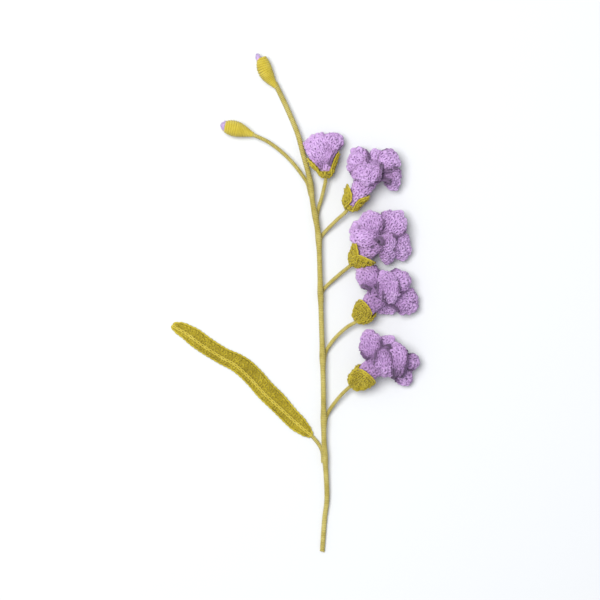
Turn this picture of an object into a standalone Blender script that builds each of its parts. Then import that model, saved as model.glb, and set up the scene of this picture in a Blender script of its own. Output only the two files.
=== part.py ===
"""A crocheted freesia stem, lying on the surface it was put down on.

Five lilac flowers, two buds and one long leaf stand on stalks of wire wound with olive yarn,
and the stalks are bound along one main stem. Every piece is at its real size, in metres.

The frame: the origin is on the surface, under the middle of the stem's box. +Y runs up the
stem, from the cut end to the top bud, +X to the side that the flowers are on, and +Z up.
Lists of places are in millimetres, and mm() turns them into metres.
"""

import math

import bmesh
import bpy
from mathutils import Matrix, Vector

COLLECTION = "crocheted_freesia_stem"
MM = 0.001

# Driving dimensions, in millimetres.
GAP = 0.3
CUT_GAP = 0.4
STEM_RADIUS = 1.6
STEM_END_RADIUS = 1.42
STEM_TAPER = 60.0
STEM_WALL = 0.62
STEM_WIRE_RADIUS = 0.6
STALK_RADIUS = 1.12
STALK_WALL = 0.42
STALK_WIRE_RADIUS = 0.35
STALK_STRAIGHT = 2.5
PETAL_THICKNESS = 1.8
SEPAL_THICKNESS = 1.5
PETAL_ROOT_SHARE = 0.6
PETAL_SWELL = 1.6
PETAL_WAVE_COUNT = 2.6
PETAL_TIP_CURL = 0.6
PUCKER = 0.9
PUCKER_WAVES = ((0.95, 0.6, 0.0), (0.0, 0.95, -0.7))
PUCKER_SHIFT = 1.0
FLOOR_SOFTNESS = 1.2
TUBE_WALL = 1.5
FLOWER_TUBE_BASE_RADIUS = 1.9
FLOWER_TUBE_MOUTH_RADIUS = 7.2
FLOWER_TUBE_BEND = 0.7
FLOWER_TUBE_RINGS = (1.0, 0.35)
FLOWER_TUBE_HEEL = 0.9
FLOWER_TUBE_FLOOR = 1.8
FLOWER_TUBE_TOE = 0.7
CALYX_CUP_HEIGHT = 3.8
CALYX_CUP_WALL = 0.9
CALYX_WAIST_HEIGHT = 2.4
CALYX_BELLY = (2.6, 0.7)
CALYX_FOOT_RADIUS = 1.5
CALYX_TAPER = 0.1
CALYX_FLOOR_INSET = 0.9
SEPAL_ROOT_HEIGHT = 1.7
SEPAL_ROOT_RADIUS = 3.2
SEPAL_ROOT_SHARE = 0.5
SEPAL_TIP_SHARE = 0.45
SEPAL_CLEARANCE = 0.45
SEPAL_LEAST_BEND = 7.0
FLOWER_FOOT = 1.6
BUD_1_WIDEST = 4.7
BUD_2_WIDEST = 5.5
BUD_FOOT_RADIUS = 1.6
BUD_MOUTH_RADIUS = 1.9
BUD_LIP = 0.5
BUD_SOCKET_DEPTH = 3.0
BUD_PORE = 0.2
BUD_TIP_REACH = 2.9
BUD_TIP_POINT = 0.02
WIRE_IN_FLOWER = 8.0
WIRE_IN_BUD = 5.0
LEAF_RIB_HEIGHT = 3.2
LEAF_ROW_HEIGHT = 2.5
LEAF_GROOVE_HEIGHT = 1.6
LEAF_EDGE_HEIGHT = 1.2
LEAF_SCALLOP = 0.4
LEAF_WIRE_HEIGHT = 1.45

# A bud's outer shape, from its mouth down: shares of its largest radius and of its length.
BUD_SHAPE = ((0.8, 0.92), (1.0, 0.76), (0.93, 0.6), (0.62, 0.4), (0.4, 0.2))

# The lilac tip in a bud's mouth: shares of its radius, and heights above the mouth.
BUD_TIP_SHAPE = ((0.5, 2.3), (0.95, 0.8), (1.0, -1.0))

# How finely the pieces are faceted.
STEM_SPACING = 13.0
STALK_SPACING = 6.5
TUBE_SIDES = 8
BUD_SIDES = 10
PETAL_ROWS = 5
PETAL_COLUMNS = 6
SEPAL_ROWS = 4
SEPAL_COLUMNS = 3
LEAF_SPACING = 2.7
LEAF_WIRE_END = 6
FLAT_ANGLE = math.radians(0.3)
SHARP_ANGLE = math.radians(50)
MERGE = 0.002
WELD = 1e-6
WRAP_RESOLUTION = 2
WIRE_RESOLUTION = 1

LILAC = (0.48, 0.30, 0.56)
OLIVE = (0.39, 0.31, 0.045)
BUD_OLIVE = (0.55, 0.44, 0.07)
WOUND_OLIVE = (0.46, 0.37, 0.10)
WIRE_GREY = (0.42, 0.43, 0.42)

# The main stem's middle line, from the cut end to the top bud.
MAIN_STEM = (
    (15.9, -152.4, 1.5),
    (17.3, -132.7, 2.0),
    (18.7, -121.0, 2.9),
    (18.4, -108.0, 4.2),
    (17.0, -85.9, 5.6),
    (16.7, -68.3, 6.3),
    (16.4, -44.9, 6.5),
    (15.5, -16.4, 6.5),
    (14.7, 9.1, 6.5),
    (13.5, 40.8, 6.5),
    (10.0, 61.8, 6.5),
    (8.1, 76.2, 6.5),
    (4.0, 92.0, 6.5),
    (0.4, 104.9, 6.3),
    (-6.0, 120.1, 5.8),
    (-13.0, 134.8, 4.9),
)
BUD_1_TOP = (-20.9, 150.8, 4.8)

# Each flower: its stalk from the foot upwards, the way its tube points, the tube's length,
# its size against the largest, two sepals and six petals. A sepal is (place round the tube in
# degrees, with 0 at the right, 90 on top and 180 at the left, then its length, width and
# opening). A petal is (places of its root, its middle and its tip, the way its face turns,
# width, bulge of its edges towards that side, height of its waves).
FLOWERS = (
    {
        "stalk": ((12.9, 45.5, 3.4), (12.5, 51.3, 3.4), (13.6, 58.3, 4.0), (15.4, 64.2, 5.4),
                  (16.9, 70.3, 6.8), (17.9, 77.6, 8.0)),
        "heading": 91.0,
        "rise": 13.0,
        "tube": 14.6,
        "size": 0.52,
        "sepals": ((178.0, 11.5, 6.5, 38.0), (2.0, 13.5, 6.5, 20.0)),
        "petals": (
            ((17.5, 88.5, 11.5), (11, 94, 13), (6.5, 97, 11.5), (-0.4, -0.1, 0.9), 7.5, -1.6, 0.3),
            ((17.5, 90.5, 10), (12, 98, 11), (9.5, 102, 10), (-0.2, 0.4, 0.85), 12.0, -2.0, 0.4),
            ((18, 91.5, 8), (17, 98, 9), (18, 103, 7), (0.0, 0.4, 0.9), 12.0, -2.0, 0.7),
            ((19, 90, 9), (23, 97, 12), (28.5, 99.5, 10), (0.4, 0.2, 0.85), 9.0, -2.2, 0.3),
            ((18, 87.5, 13), (13.5, 94, 16.5), (8, 99.5, 14), (-0.2, -0.1, 0.95), 12.5, -3.0, 0.4),
            ((18, 89, 13), (20, 96, 15.5), (25, 101, 13), (0.2, 0.1, 0.95), 10.0, -3.0, 0.3),
        ),
    },
    {
        "stalk": ((14.6, 34.0, 3.4), (15.3, 40.8, 3.4), (22.9, 49.2, 6.6), (31.6, 57.9, 9.0)),
        "heading": 57.0,
        "rise": 18.0,
        "tube": 27.5,
        "size": 0.92,
        "sepals": ((155.0, 12.0, 9.5, 24.0), (8.0, 12.0, 9.5, 16.0)),
        "petals": (
            ((40.5, 80.5, 18), (37.5, 83.5, 20), (32, 90, 16), (-0.3, 0.0, 0.95), 12.0, -3.4, 0.5),
            ((42, 81, 13.5), (42, 90, 15.5), (35.5, 94, 11), (-0.2, 0.4, 0.88), 9.0, -2.6, 0.7),
            ((45.5, 79.5, 12), (47, 87.5, 12), (48, 93, 9), (0.0, 0.5, 0.85), 11.0, -2.4, 0.8),
            ((48.5, 77, 13.5), (55, 84.5, 19), (62.5, 83.5, 14), (0.1, 0.2, 0.95), 11.5, -3.8, 0.6),
            ((49, 75, 17.5), (57.5, 77.5, 17), (61.5, 69.5, 8), (0.4, -0.1, 0.9), 11.0, -3.4, 0.4),
            ((48, 85, 17), (43.5, 79.5, 27.5), (42.5, 71, 25), (-0.1, -0.3, 0.95), 17.0, -3.6, 0.5),
        ),
    },
    {
        "stalk": ((15.7, 1.0, 3.4), (16.1, 7.7, 3.4), (25.2, 16.6, 5.6), (34.4, 24.3, 8.0)),
        "heading": 43.0,
        "rise": 27.0,
        "tube": 25.0,
        "size": 0.9,
        "sepals": ((150.0, 12.5, 11.5, 26.0), (48.0, 13.5, 12.0, 28.0)),
        "petals": (
            ((52, 41, 19), (42, 39.5, 24), (33, 37, 16), (-0.3, -0.3, 0.9), 13.5, -4.0, 0.5),
            ((46, 42, 18.5), (40, 43.5, 18), (33, 46.5, 13), (-0.5, 0.2, 0.85), 12.0, -3.6, 0.5),
            ((47.5, 42, 16), (45.5, 47.5, 24), (41.5, 57, 16), (-0.1, 0.2, 0.95), 14.5, -5.0, 0.5),
            ((51.5, 39.5, 14), (58, 48, 21), (64.5, 56.5, 13), (0.2, 0.3, 0.9), 15.5, -4.5, 0.6),
            ((53, 36, 16), (62.5, 37, 17), (68, 26.5, 8), (0.4, -0.1, 0.9), 12.0, -4.0, 0.6),
            ((49, 37, 17), (55, 38.5, 26), (57, 24, 10), (0.2, 0.1, 0.97), 9.0, -3.2, 0.3),
        ),
    },
    {
        "stalk": ((16.9, -38.0, 3.4), (17.5, -32.0, 3.5), (19.3, -27.3, 4.2), (24.1, -20.9, 5.8),
                  (31.0, -14.6, 7.4), (37.2, -10.2, 8.4)),
        "heading": 49.0,
        "rise": 20.0,
        "tube": 25.0,
        "size": 0.92,
        "sepals": ((108.0, 13.0, 11.0, 22.0), (335.0, 8.5, 9.0, 18.0)),
        "petals": (
            ((47.5, 9, 17), (44.5, 15.5, 18), (36, 19.5, 12), (-0.3, 0.2, 0.9), 13.0, -4.5, 0.5),
            ((55.5, 4, 14), (56, -0.5, 11), (58.5, -6, 7), (0.1, -0.5, 0.85), 17.0, -2.6, 0.8),
            ((53.5, 6.5, 11.5), (62.5, 13.5, 18), (70, 16.5, 12), (0.3, 0.2, 0.9), 13.5, -4.2, 0.6),
            ((55.5, 3.5, 14), (65.5, 2.5, 15), (74, -4, 8), (0.4, -0.1, 0.9), 14.0, -4.2, 0.6),
            ((55, 14, 17), (55.5, 7.5, 26), (56, -1, 20), (-0.1, -0.2, 0.97), 11.5, -3.8, 0.5),
            ((55, 2.5, 17.5), (57, 8.5, 26), (52.5, 19.5, 21), (0.1, -0.1, 0.98), 9.5, -3.6, 0.5),
        ),
    },
    {
        "stalk": ((17.4, -76.0, 3.4), (18.4, -69.5, 3.6), (21.9, -63.1, 5.2), (27.5, -56.0, 7.2),
                  (34.0, -50.0, 8.6)),
        "heading": 40.0,
        "rise": 20.0,
        "tube": 25.0,
        "size": 0.92,
        "sepals": ((70.0, 14.5, 13.0, 20.0), (195.0, 10.0, 8.0, 12.0)),
        "petals": (
            ((47, -32.5, 17.5), (45, -27, 20), (41.5, -16.5, 15), (-0.3, 0.1, 0.95), 12.0, -4.2, 0.5),
            ((49, -32.5, 13.5), (53, -27.5, 16), (57, -20, 12), (0.0, 0.4, 0.9), 12.0, -3.0, 1.2),
            ((61.5, -44.5, 14), (62.5, -34, 25), (60.5, -23, 18), (0.1, 0.0, 0.98), 8.5, -3.8, 0.5),
            ((54, -38, 13), (68, -35.5, 15), (75.5, -36.5, 9), (0.4, 0.1, 0.9), 10.5, -3.6, 0.5),
            ((54, -40, 15.5), (61.5, -41.5, 13), (66, -49.5, 7), (0.3, -0.3, 0.9), 12.0, -3.6, 0.6),
            ((53.5, -26, 17), (53, -35.5, 25), (53.5, -46, 17), (-0.1, -0.1, 0.97), 10.0, -4.0, 0.6),
        ),
    },
)

# The second bud's stalk, from its foot upwards, and the top of that bud.
BUD_2_STALK = ((8.6, 66.0, 3.4), (6.9, 73.3, 3.5), (4.1, 77.8, 4.2), (-1.9, 85.6, 5.6),
               (-8.9, 92.6, 5.9), (-17.7, 99.1, 5.8), (-26.5, 103.2, 5.7))
BUD_2_TOP = (-44.1, 108.4, 5.7)

# The leaf's stalk from its foot upwards, then the leaf's middle rib up to its tip.
LEAF_STALK = ((16.3, -98.0, 1.9), (16.0, -91.5, 1.9), (13.5, -86.2, 1.7), (9.2, -81.2, 1.5))
LEAF_RIB = ((8.1, -80.3), (-0.5, -73.0), (-10.4, -63.9), (-19.9, -55.2), (-27.4, -47.0),
            (-36.8, -38.4), (-46.3, -33.0), (-56.9, -26.4), (-67.0, -19.0), (-74.6, -14.6))

# The leaf's rows of stitches in section: shares of its reach from the lower edge to the
# upper one, and heights.
LEAF_SECTION = (
    (-1.0, LEAF_EDGE_HEIGHT),
    (-0.62, LEAF_ROW_HEIGHT),
    (-0.3, LEAF_GROOVE_HEIGHT),
    (-0.12, LEAF_RIB_HEIGHT - 0.3),
    (0.0, LEAF_RIB_HEIGHT),
    (0.12, LEAF_RIB_HEIGHT - 0.3),
    (0.26, LEAF_GROOVE_HEIGHT),
    (0.45, LEAF_ROW_HEIGHT),
    (0.62, LEAF_GROOVE_HEIGHT),
    (0.82, LEAF_ROW_HEIGHT),
    (1.0, LEAF_EDGE_HEIGHT),
)

# How far the leaf reaches above and below its rib, at shares of its length.
LEAF_REACH = ((0.0, 1.9, 1.9), (0.03, 3.6, 3.4), (0.1, 5.2, 4.6), (0.3, 7.4, 3.9),
              (0.5, 7.7, 3.4), (0.68, 5.9, 3.7), (0.86, 6.2, 3.9), (0.96, 4.8, 3.0),
              (1.0, 2.8, 1.8))


def mm(x, y, z=0.0):
    """A place in millimetres as a vector in metres."""
    return Vector((x, y, z)) * MM


def clear_scene():
    for item in list(bpy.data.objects):
        bpy.data.objects.remove(item, do_unlink=True)


def yarn(name, colour, roughness=0.9, metallic=0.0):
    """A plain material for one kind of yarn or wire."""
    material = bpy.data.materials.new(name)
    material.use_nodes = True
    shader = material.node_tree.nodes["Principled BSDF"]
    shader.inputs["Base Color"].default_value = (*colour, 1.0)
    shader.inputs["Roughness"].default_value = roughness
    shader.inputs["Metallic"].default_value = metallic
    return material


def smooth_path(places, spacing):
    """Points every spacing or so along a smooth line through the places."""
    knots = [Vector(place) for place in places]
    ends = [knots[0] * 2 - knots[1], *knots, knots[-1] * 2 - knots[-2]]
    path = []
    for before, start, end, after in zip(ends, ends[1:], ends[2:], ends[3:]):
        steps = max(1, round((end - start).length / spacing))
        for step in range(steps):
            t = step / steps
            path.append(
                0.5 * (2 * start + (end - before) * t
                       + (2 * before - 5 * start + 4 * end - after) * t ** 2
                       + (3 * start - before - 3 * end + after) * t ** 3)
            )
    return path + [knots[-1]]


def mesh_object(name, mesh, material):
    item = bpy.data.objects.new(name, mesh)
    bpy.data.collections[COLLECTION].objects.link(item)
    mesh.materials.clear()
    mesh.materials.append(material)
    return item


def tube(name, path, radii, resolution, material, capped):
    """A round curve along a path in millimetres, as a mesh."""
    curve = bpy.data.curves.new(name, "CURVE")
    curve.dimensions = "3D"
    curve.bevel_depth = MM
    curve.bevel_resolution = resolution
    curve.use_fill_caps = capped
    spline = curve.splines.new("POLY")
    spline.points.add(len(path) - 1)
    for point, place, radius in zip(spline.points, path, radii):
        point.co = (*(place * MM), 1.0)
        point.radius = radius
    holder = bpy.data.objects.new(name + "_curve", curve)
    bpy.data.collections[COLLECTION].objects.link(holder)
    depsgraph = bpy.context.evaluated_depsgraph_get()
    mesh = bpy.data.meshes.new_from_object(holder.evaluated_get(depsgraph))
    bpy.data.objects.remove(holder, do_unlink=True)
    weld(mesh)
    mesh.name = name
    return mesh_object(name, mesh, material)


def weld(mesh):
    """Joins doubled points and turns the faces outwards."""
    shape = bmesh.new()
    shape.from_mesh(mesh)
    bmesh.ops.remove_doubles(shape, verts=shape.verts[:], dist=WELD)
    bmesh.ops.recalc_face_normals(shape, faces=shape.faces[:])
    shape.to_mesh(mesh)
    shape.free()


def wall(item, thickness, offset):
    """Gives an open sheet its thickness."""
    solidify = item.modifiers.new("thickness", "SOLIDIFY")
    solidify.thickness = thickness * MM
    solidify.offset = offset


def wound_sleeve(name, path, radii, thickness, material):
    """Yarn wound round a wire: a tube with the wire's bore left open."""
    sleeve = tube(name, path, radii, WRAP_RESOLUTION, material, capped=False)
    wall(sleeve, thickness, offset=-1.0)
    sleeve.data.shade_smooth()
    return sleeve


def wire(name, path, radius, material):
    core = tube(name, path, [radius] * len(path), WIRE_RESOLUTION, material, capped=True)
    core.data.shade_smooth()
    core.data.set_sharp_from_angle(angle=SHARP_ANGLE)
    return core


def turned(name, profile, sides, frame, material):
    """A closed profile of (radius, height) turned round the frame's Z axis.

    The profile runs down the outer side, from the top to the bottom, and back up inside.
    """
    mesh = bpy.data.meshes.new(name)
    outline = bmesh.new()
    points = [outline.verts.new(mm(radius, 0.0, height)) for radius, height in profile]
    for start, end in zip(points, points[1:] + points[:1]):
        outline.edges.new((start, end))
    outline.to_mesh(mesh)
    outline.free()
    item = mesh_object(name, mesh, material)
    item.matrix_world = frame
    screw = item.modifiers.new("turn", "SCREW")
    screw.steps = sides
    screw.render_steps = sides
    screw.use_merge_vertices = True
    screw.merge_threshold = 1e-5
    screw.use_smooth_shade = True
    return item


def sheet(name, place, rows, columns, thickness, material):
    """A grid bent by place(along, across), each across from -1 to 1, then thickened."""
    mesh = bpy.data.meshes.new(name)
    grid = bmesh.new()
    bmesh.ops.create_grid(grid, x_segments=columns, y_segments=rows, size=1.0)
    for vert in grid.verts:
        vert.co = place((vert.co.y + 1.0) / 2.0, vert.co.x) * MM
    bmesh.ops.triangulate(grid, faces=grid.faces[:])
    grid.to_mesh(mesh)
    grid.free()
    item = mesh_object(name, mesh, material)
    wall(item, thickness, offset=0.0)
    return item


def settle(item):
    """Turns an object's modifiers and place into a plain mesh."""
    depsgraph = bpy.context.evaluated_depsgraph_get()
    mesh = bpy.data.meshes.new_from_object(item.evaluated_get(depsgraph))
    mesh.transform(item.matrix_world)
    item.modifiers.clear()
    item.matrix_world = Matrix.Identity(4)
    item.data = mesh
    return item


def shells_of(shape):
    """The groups of faces that hang together along their edges."""
    shells = []
    unseen = set(shape.faces)
    while unseen:
        shell = []
        ahead = [unseen.pop()]
        while ahead:
            face = ahead.pop()
            shell.append(face)
            for edge in face.edges:
                for other in edge.link_faces:
                    if other in unseen:
                        unseen.discard(other)
                        ahead.append(other)
        shells.append(shell)
    return shells


def tidy_union(item):
    """Merges what a union left too fine, and keeps only its largest shell."""
    shape = bmesh.new()
    shape.from_mesh(item.data)
    bmesh.ops.remove_doubles(shape, verts=shape.verts[:], dist=MERGE * MM)
    bmesh.ops.dissolve_limit(shape, angle_limit=FLAT_ANGLE, verts=shape.verts[:],
                             edges=shape.edges[:])
    bmesh.ops.dissolve_degenerate(shape, edges=shape.edges[:], dist=MERGE * MM)
    bmesh.ops.triangulate(shape, faces=shape.faces[:])
    seen = {}
    for face in shape.faces:
        seen.setdefault(frozenset(face.verts), []).append(face)
    fins = [face for faces in seen.values() if len(faces) > 1 for face in faces]
    bmesh.ops.delete(shape, geom=fins, context="FACES")
    shells = shells_of(shape)
    largest = max(shells, key=len)
    scraps = [face for shell in shells if shell is not largest for face in shell]
    bmesh.ops.delete(shape, geom=scraps, context="FACES")
    loose = [edge for edge in shape.edges if not edge.link_faces]
    bmesh.ops.delete(shape, geom=loose, context="EDGES")
    shape.to_mesh(item.data)
    shape.free()


def combine(item, others, operation="UNION"):
    """One Boolean of the item with all the others, which are then removed."""
    settle(item)
    group = bpy.data.collections.new(item.name + "_parts")
    bpy.context.scene.collection.children.link(group)
    for other in others:
        settle(other)
        group.objects.link(other)
    boolean = item.modifiers.new("combine", "BOOLEAN")
    boolean.operation = operation
    boolean.operand_type = "COLLECTION"
    boolean.collection = group
    boolean.solver = "MANIFOLD"
    settle(item)
    for other in others:
        bpy.data.objects.remove(other, do_unlink=True)
    bpy.data.collections.remove(group)
    tidy_union(item)
    item.data.shade_smooth()
    item.data.set_sharp_from_angle(angle=SHARP_ANGLE)
    return item


def cut_clear(item, neighbour):
    """Cuts an item back to a small gap from its neighbour, where the two would meet."""
    mesh = neighbour.data.copy()
    for vert in mesh.vertices:
        vert.co = vert.co + vert.normal * CUT_GAP * MM
    cutter = mesh_object(item.name + "_clearance", mesh, item.data.materials[0])
    combine(item, [cutter], operation="DIFFERENCE")


def axis_frame(base, direction):
    """A frame at the base whose Z runs along the direction, with Y to the right of it."""
    along = direction.normalized()
    right = along.cross(Vector((0, 0, 1))).normalized()
    up = right.cross(along)
    turn = Matrix((up, right, along)).transposed().to_4x4()
    return Matrix.Translation(base * MM) @ turn


def above_floor(place, thickness=PETAL_THICKNESS, softness=FLOOR_SOFTNESS):
    """Bends a place up where it would go below the surface, by half a thickness over it."""
    lowest = thickness / 2
    lifted = 0.5 * (place.z + lowest + math.hypot(place.z - lowest, softness))
    return Vector((place.x, place.y, lifted))


def pucker(place):
    """The uneven pull of the yarn, which puckers a petal into small hills."""
    first, second = (place.dot(Vector(wave)) for wave in PUCKER_WAVES)
    return math.sin(first) * math.sin(second + PUCKER_SHIFT)


def tube_radius(height, flower):
    """The outer radius of a flower's tube at a height above its base."""
    share = min(1.0, max(0.0, height / flower["tube"]))
    growth = FLOWER_TUBE_MOUTH_RADIUS * flower["size"] - FLOWER_TUBE_BASE_RADIUS
    return FLOWER_TUBE_BASE_RADIUS + growth * share ** FLOWER_TUBE_BEND


def flower_axes(flower):
    """The base of a flower, and its directions along, right and up."""
    heading = math.radians(flower["heading"])
    rise = math.radians(flower["rise"])
    along = Vector((math.cos(heading) * math.cos(rise), math.sin(heading) * math.cos(rise),
                    math.sin(rise)))
    right = along.cross(Vector((0, 0, 1))).normalized()
    return Vector(flower["stalk"][-1]), along, right, right.cross(along)


def petal_place(petal):
    """The function that bends a petal: from its root over its middle to its round tip."""
    root, middle, tip, facing, width, bulge, waves = petal
    root = Vector(root)
    middle = Vector(middle)
    tip = Vector(tip)
    facing = Vector(facing).normalized()
    knot = middle * 2 - (root + tip) / 2
    side = (tip - middle).cross(facing).normalized()
    tip_share = 0.5 * width / ((middle - root).length + (tip - middle).length)
    phase = tip.x + tip.y

    def place(s, v):
        u = math.sin(0.5 * math.pi * v)
        t = s * (1.0 - tip_share * s * (1.0 - math.cos(0.5 * math.pi * v)))
        r = 1.0 - t
        spine = root * r * r + knot * 2 * r * t + tip * t * t
        ahead = ((knot - root) * r + (tip - knot) * t).normalized()
        across = (side - ahead * side.dot(ahead)).normalized()
        normal = across.cross(ahead)
        swell = math.sin(0.5 * math.pi * min(1.0, PETAL_SWELL * s))
        half = 0.5 * width * (PETAL_ROOT_SHARE + (1 - PETAL_ROOT_SHARE) * swell)
        ripple = waves * s * s * math.sin(PETAL_WAVE_COUNT * math.pi * u + phase)
        flat = spine + across * half * u
        bend = bulge * (u * u * s * s + PETAL_TIP_CURL * s ** 4)
        return above_floor(flat + normal * (bend + ripple + PUCKER * s * pucker(flat)))

    return place


def flower_tube(name, flower, material):
    """The funnel of a flower, with a small hole in its base for the wire."""
    base, along, _, _ = flower_axes(flower)
    hole = STALK_WIRE_RADIUS + GAP
    heights = [flower["tube"] * share for share in FLOWER_TUBE_RINGS]
    outer = [(tube_radius(height, flower), height) for height in heights]
    foot = [(FLOWER_TUBE_BASE_RADIUS, FLOWER_FOOT + FLOWER_TUBE_HEEL),
            (hole + FLOWER_TUBE_TOE, FLOWER_FOOT), (hole, FLOWER_FOOT),
            (hole, FLOWER_FOOT + FLOWER_TUBE_FLOOR)]
    inner = [(tube_radius(height, flower) - TUBE_WALL, height) for height in reversed(heights)]
    return turned(name, outer + foot + inner, TUBE_SIDES, axis_frame(base, along), material)


def corolla(number, flower, material):
    """A tube that opens into six petals, worked as one piece."""
    name = f"flower_{number}_corolla"
    body = flower_tube(name, flower, material)
    petals = [
        sheet(f"{name}_petal_{index}", petal_place(petal), PETAL_ROWS, PETAL_COLUMNS,
              PETAL_THICKNESS, material)
        for index, petal in enumerate(flower["petals"])
    ]
    return combine(body, petals)


def sepal_place(flower, sepal):
    """The function that bends a sepal's grid round the tube, clear of it."""
    base, along, right, up = flower_axes(flower)
    turn, length, width, opening = sepal
    slope = math.radians(opening)
    angle = math.radians(turn)
    outward = right * math.cos(angle) + up * math.sin(angle)
    sideways = up * math.cos(angle) - right * math.sin(angle)
    clear = SEPAL_THICKNESS / 2 + GAP + SEPAL_CLEARANCE

    def place(s, v):
        u = math.sin(0.5 * math.pi * v)
        tip_share = SEPAL_TIP_SHARE * s * (1.0 - math.cos(0.5 * math.pi * v))
        reach = length * s * (1.0 - tip_share)
        height = SEPAL_ROOT_HEIGHT + reach * math.cos(slope)
        radius = max(tube_radius(height, flower) + clear,
                     SEPAL_ROOT_RADIUS + reach * math.sin(slope))
        swell = math.sin(0.5 * math.pi * min(1.0, PETAL_SWELL * s))
        half = 0.5 * width * (SEPAL_ROOT_SHARE + (1 - SEPAL_ROOT_SHARE) * swell)
        radius -= (half * u) ** 2 / (2 * max(radius, SEPAL_LEAST_BEND))
        spot = base + along * height + outward * radius + sideways * half * u
        return above_floor(spot, SEPAL_THICKNESS)

    return place


def calyx(number, flower, material):
    """The olive cup round the foot of a flower's tube, with its two sepals."""
    name = f"flower_{number}_calyx"
    base, along, _, _ = flower_axes(flower)
    hole = STALK_WIRE_RADIUS + GAP
    clear = tube_radius(CALYX_CUP_HEIGHT, flower) + CUT_GAP
    outer = clear + CALYX_CUP_WALL
    floor = FLOWER_FOOT - CUT_GAP
    profile = ((outer, CALYX_CUP_HEIGHT), (outer - 2 * CALYX_TAPER, CALYX_WAIST_HEIGHT),
               CALYX_BELLY, (CALYX_FOOT_RADIUS, GAP), (hole, GAP), (hole, floor),
               (clear - CALYX_FLOOR_INSET, floor), (clear - CALYX_TAPER, CALYX_WAIST_HEIGHT),
               (clear, CALYX_CUP_HEIGHT))
    cup = turned(name, profile, TUBE_SIDES, axis_frame(base, along), material)
    sepals = [
        sheet(f"{name}_sepal_{index}", sepal_place(flower, sepal), SEPAL_ROWS, SEPAL_COLUMNS,
              SEPAL_THICKNESS, material)
        for index, sepal in enumerate(flower["sepals"])
    ]
    return combine(cup, sepals)


def flower_stalk(number, flower, wound, metal):
    """A wire that reaches into the flower, and the yarn wound round it below the calyx."""
    base, along, _, _ = flower_axes(flower)
    stalk = list(flower["stalk"])
    places = [*stalk[:-1], tuple(base - along * STALK_STRAIGHT), tuple(base)]
    path = smooth_path(places, STALK_SPACING)
    wound_sleeve(f"flower_{number}_stalk_wrap", path, [STALK_RADIUS] * len(path), STALK_WALL,
                 wound)
    wire(f"flower_{number}_stalk_wire", path + [base + along * WIRE_IN_FLOWER],
         STALK_WIRE_RADIUS, metal)


def bud(number, foot, top, widest, bore, olive, lilac):
    """A closed bud: an olive calyx with a lilac tip set into its end."""
    foot = Vector(foot)
    direction = Vector(top) - foot
    length = direction.length
    frame = axis_frame(foot, direction)
    mouth = BUD_MOUTH_RADIUS
    socket = length - BUD_SOCKET_DEPTH
    wire_end = WIRE_IN_BUD + 2 * GAP
    shape = [(widest * width, length * height) for width, height in BUD_SHAPE]
    profile = [(mouth + BUD_LIP, length), *shape, (BUD_FOOT_RADIUS, GAP), (bore, GAP),
               (bore, wire_end), (BUD_PORE, wire_end + GAP), (BUD_PORE, socket - GAP),
               (mouth, socket)]
    settle(turned(f"bud_{number}_calyx", profile, BUD_SIDES, frame, olive))
    snug = mouth - GAP
    dome = [(snug * width, length + height) for width, height in BUD_TIP_SHAPE]
    tip_profile = [(BUD_TIP_POINT, length + BUD_TIP_REACH), *dome, (snug, socket + CUT_GAP),
                   (BUD_TIP_POINT, socket + CUT_GAP)]
    settle(turned(f"bud_{number}_tip", tip_profile, TUBE_SIDES, frame, lilac))


def leaf_reach(s, above):
    """How far the leaf reaches from its rib, on the side above it or below it."""
    column = 1 if above else 2
    for start, end in zip(LEAF_REACH, LEAF_REACH[1:]):
        if s <= end[0]:
            share = (s - start[0]) / (end[0] - start[0])
            eased = share * share * (3 - 2 * share)
            return start[column] + (end[column] - start[column]) * eased
    return LEAF_REACH[-1][column]


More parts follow.
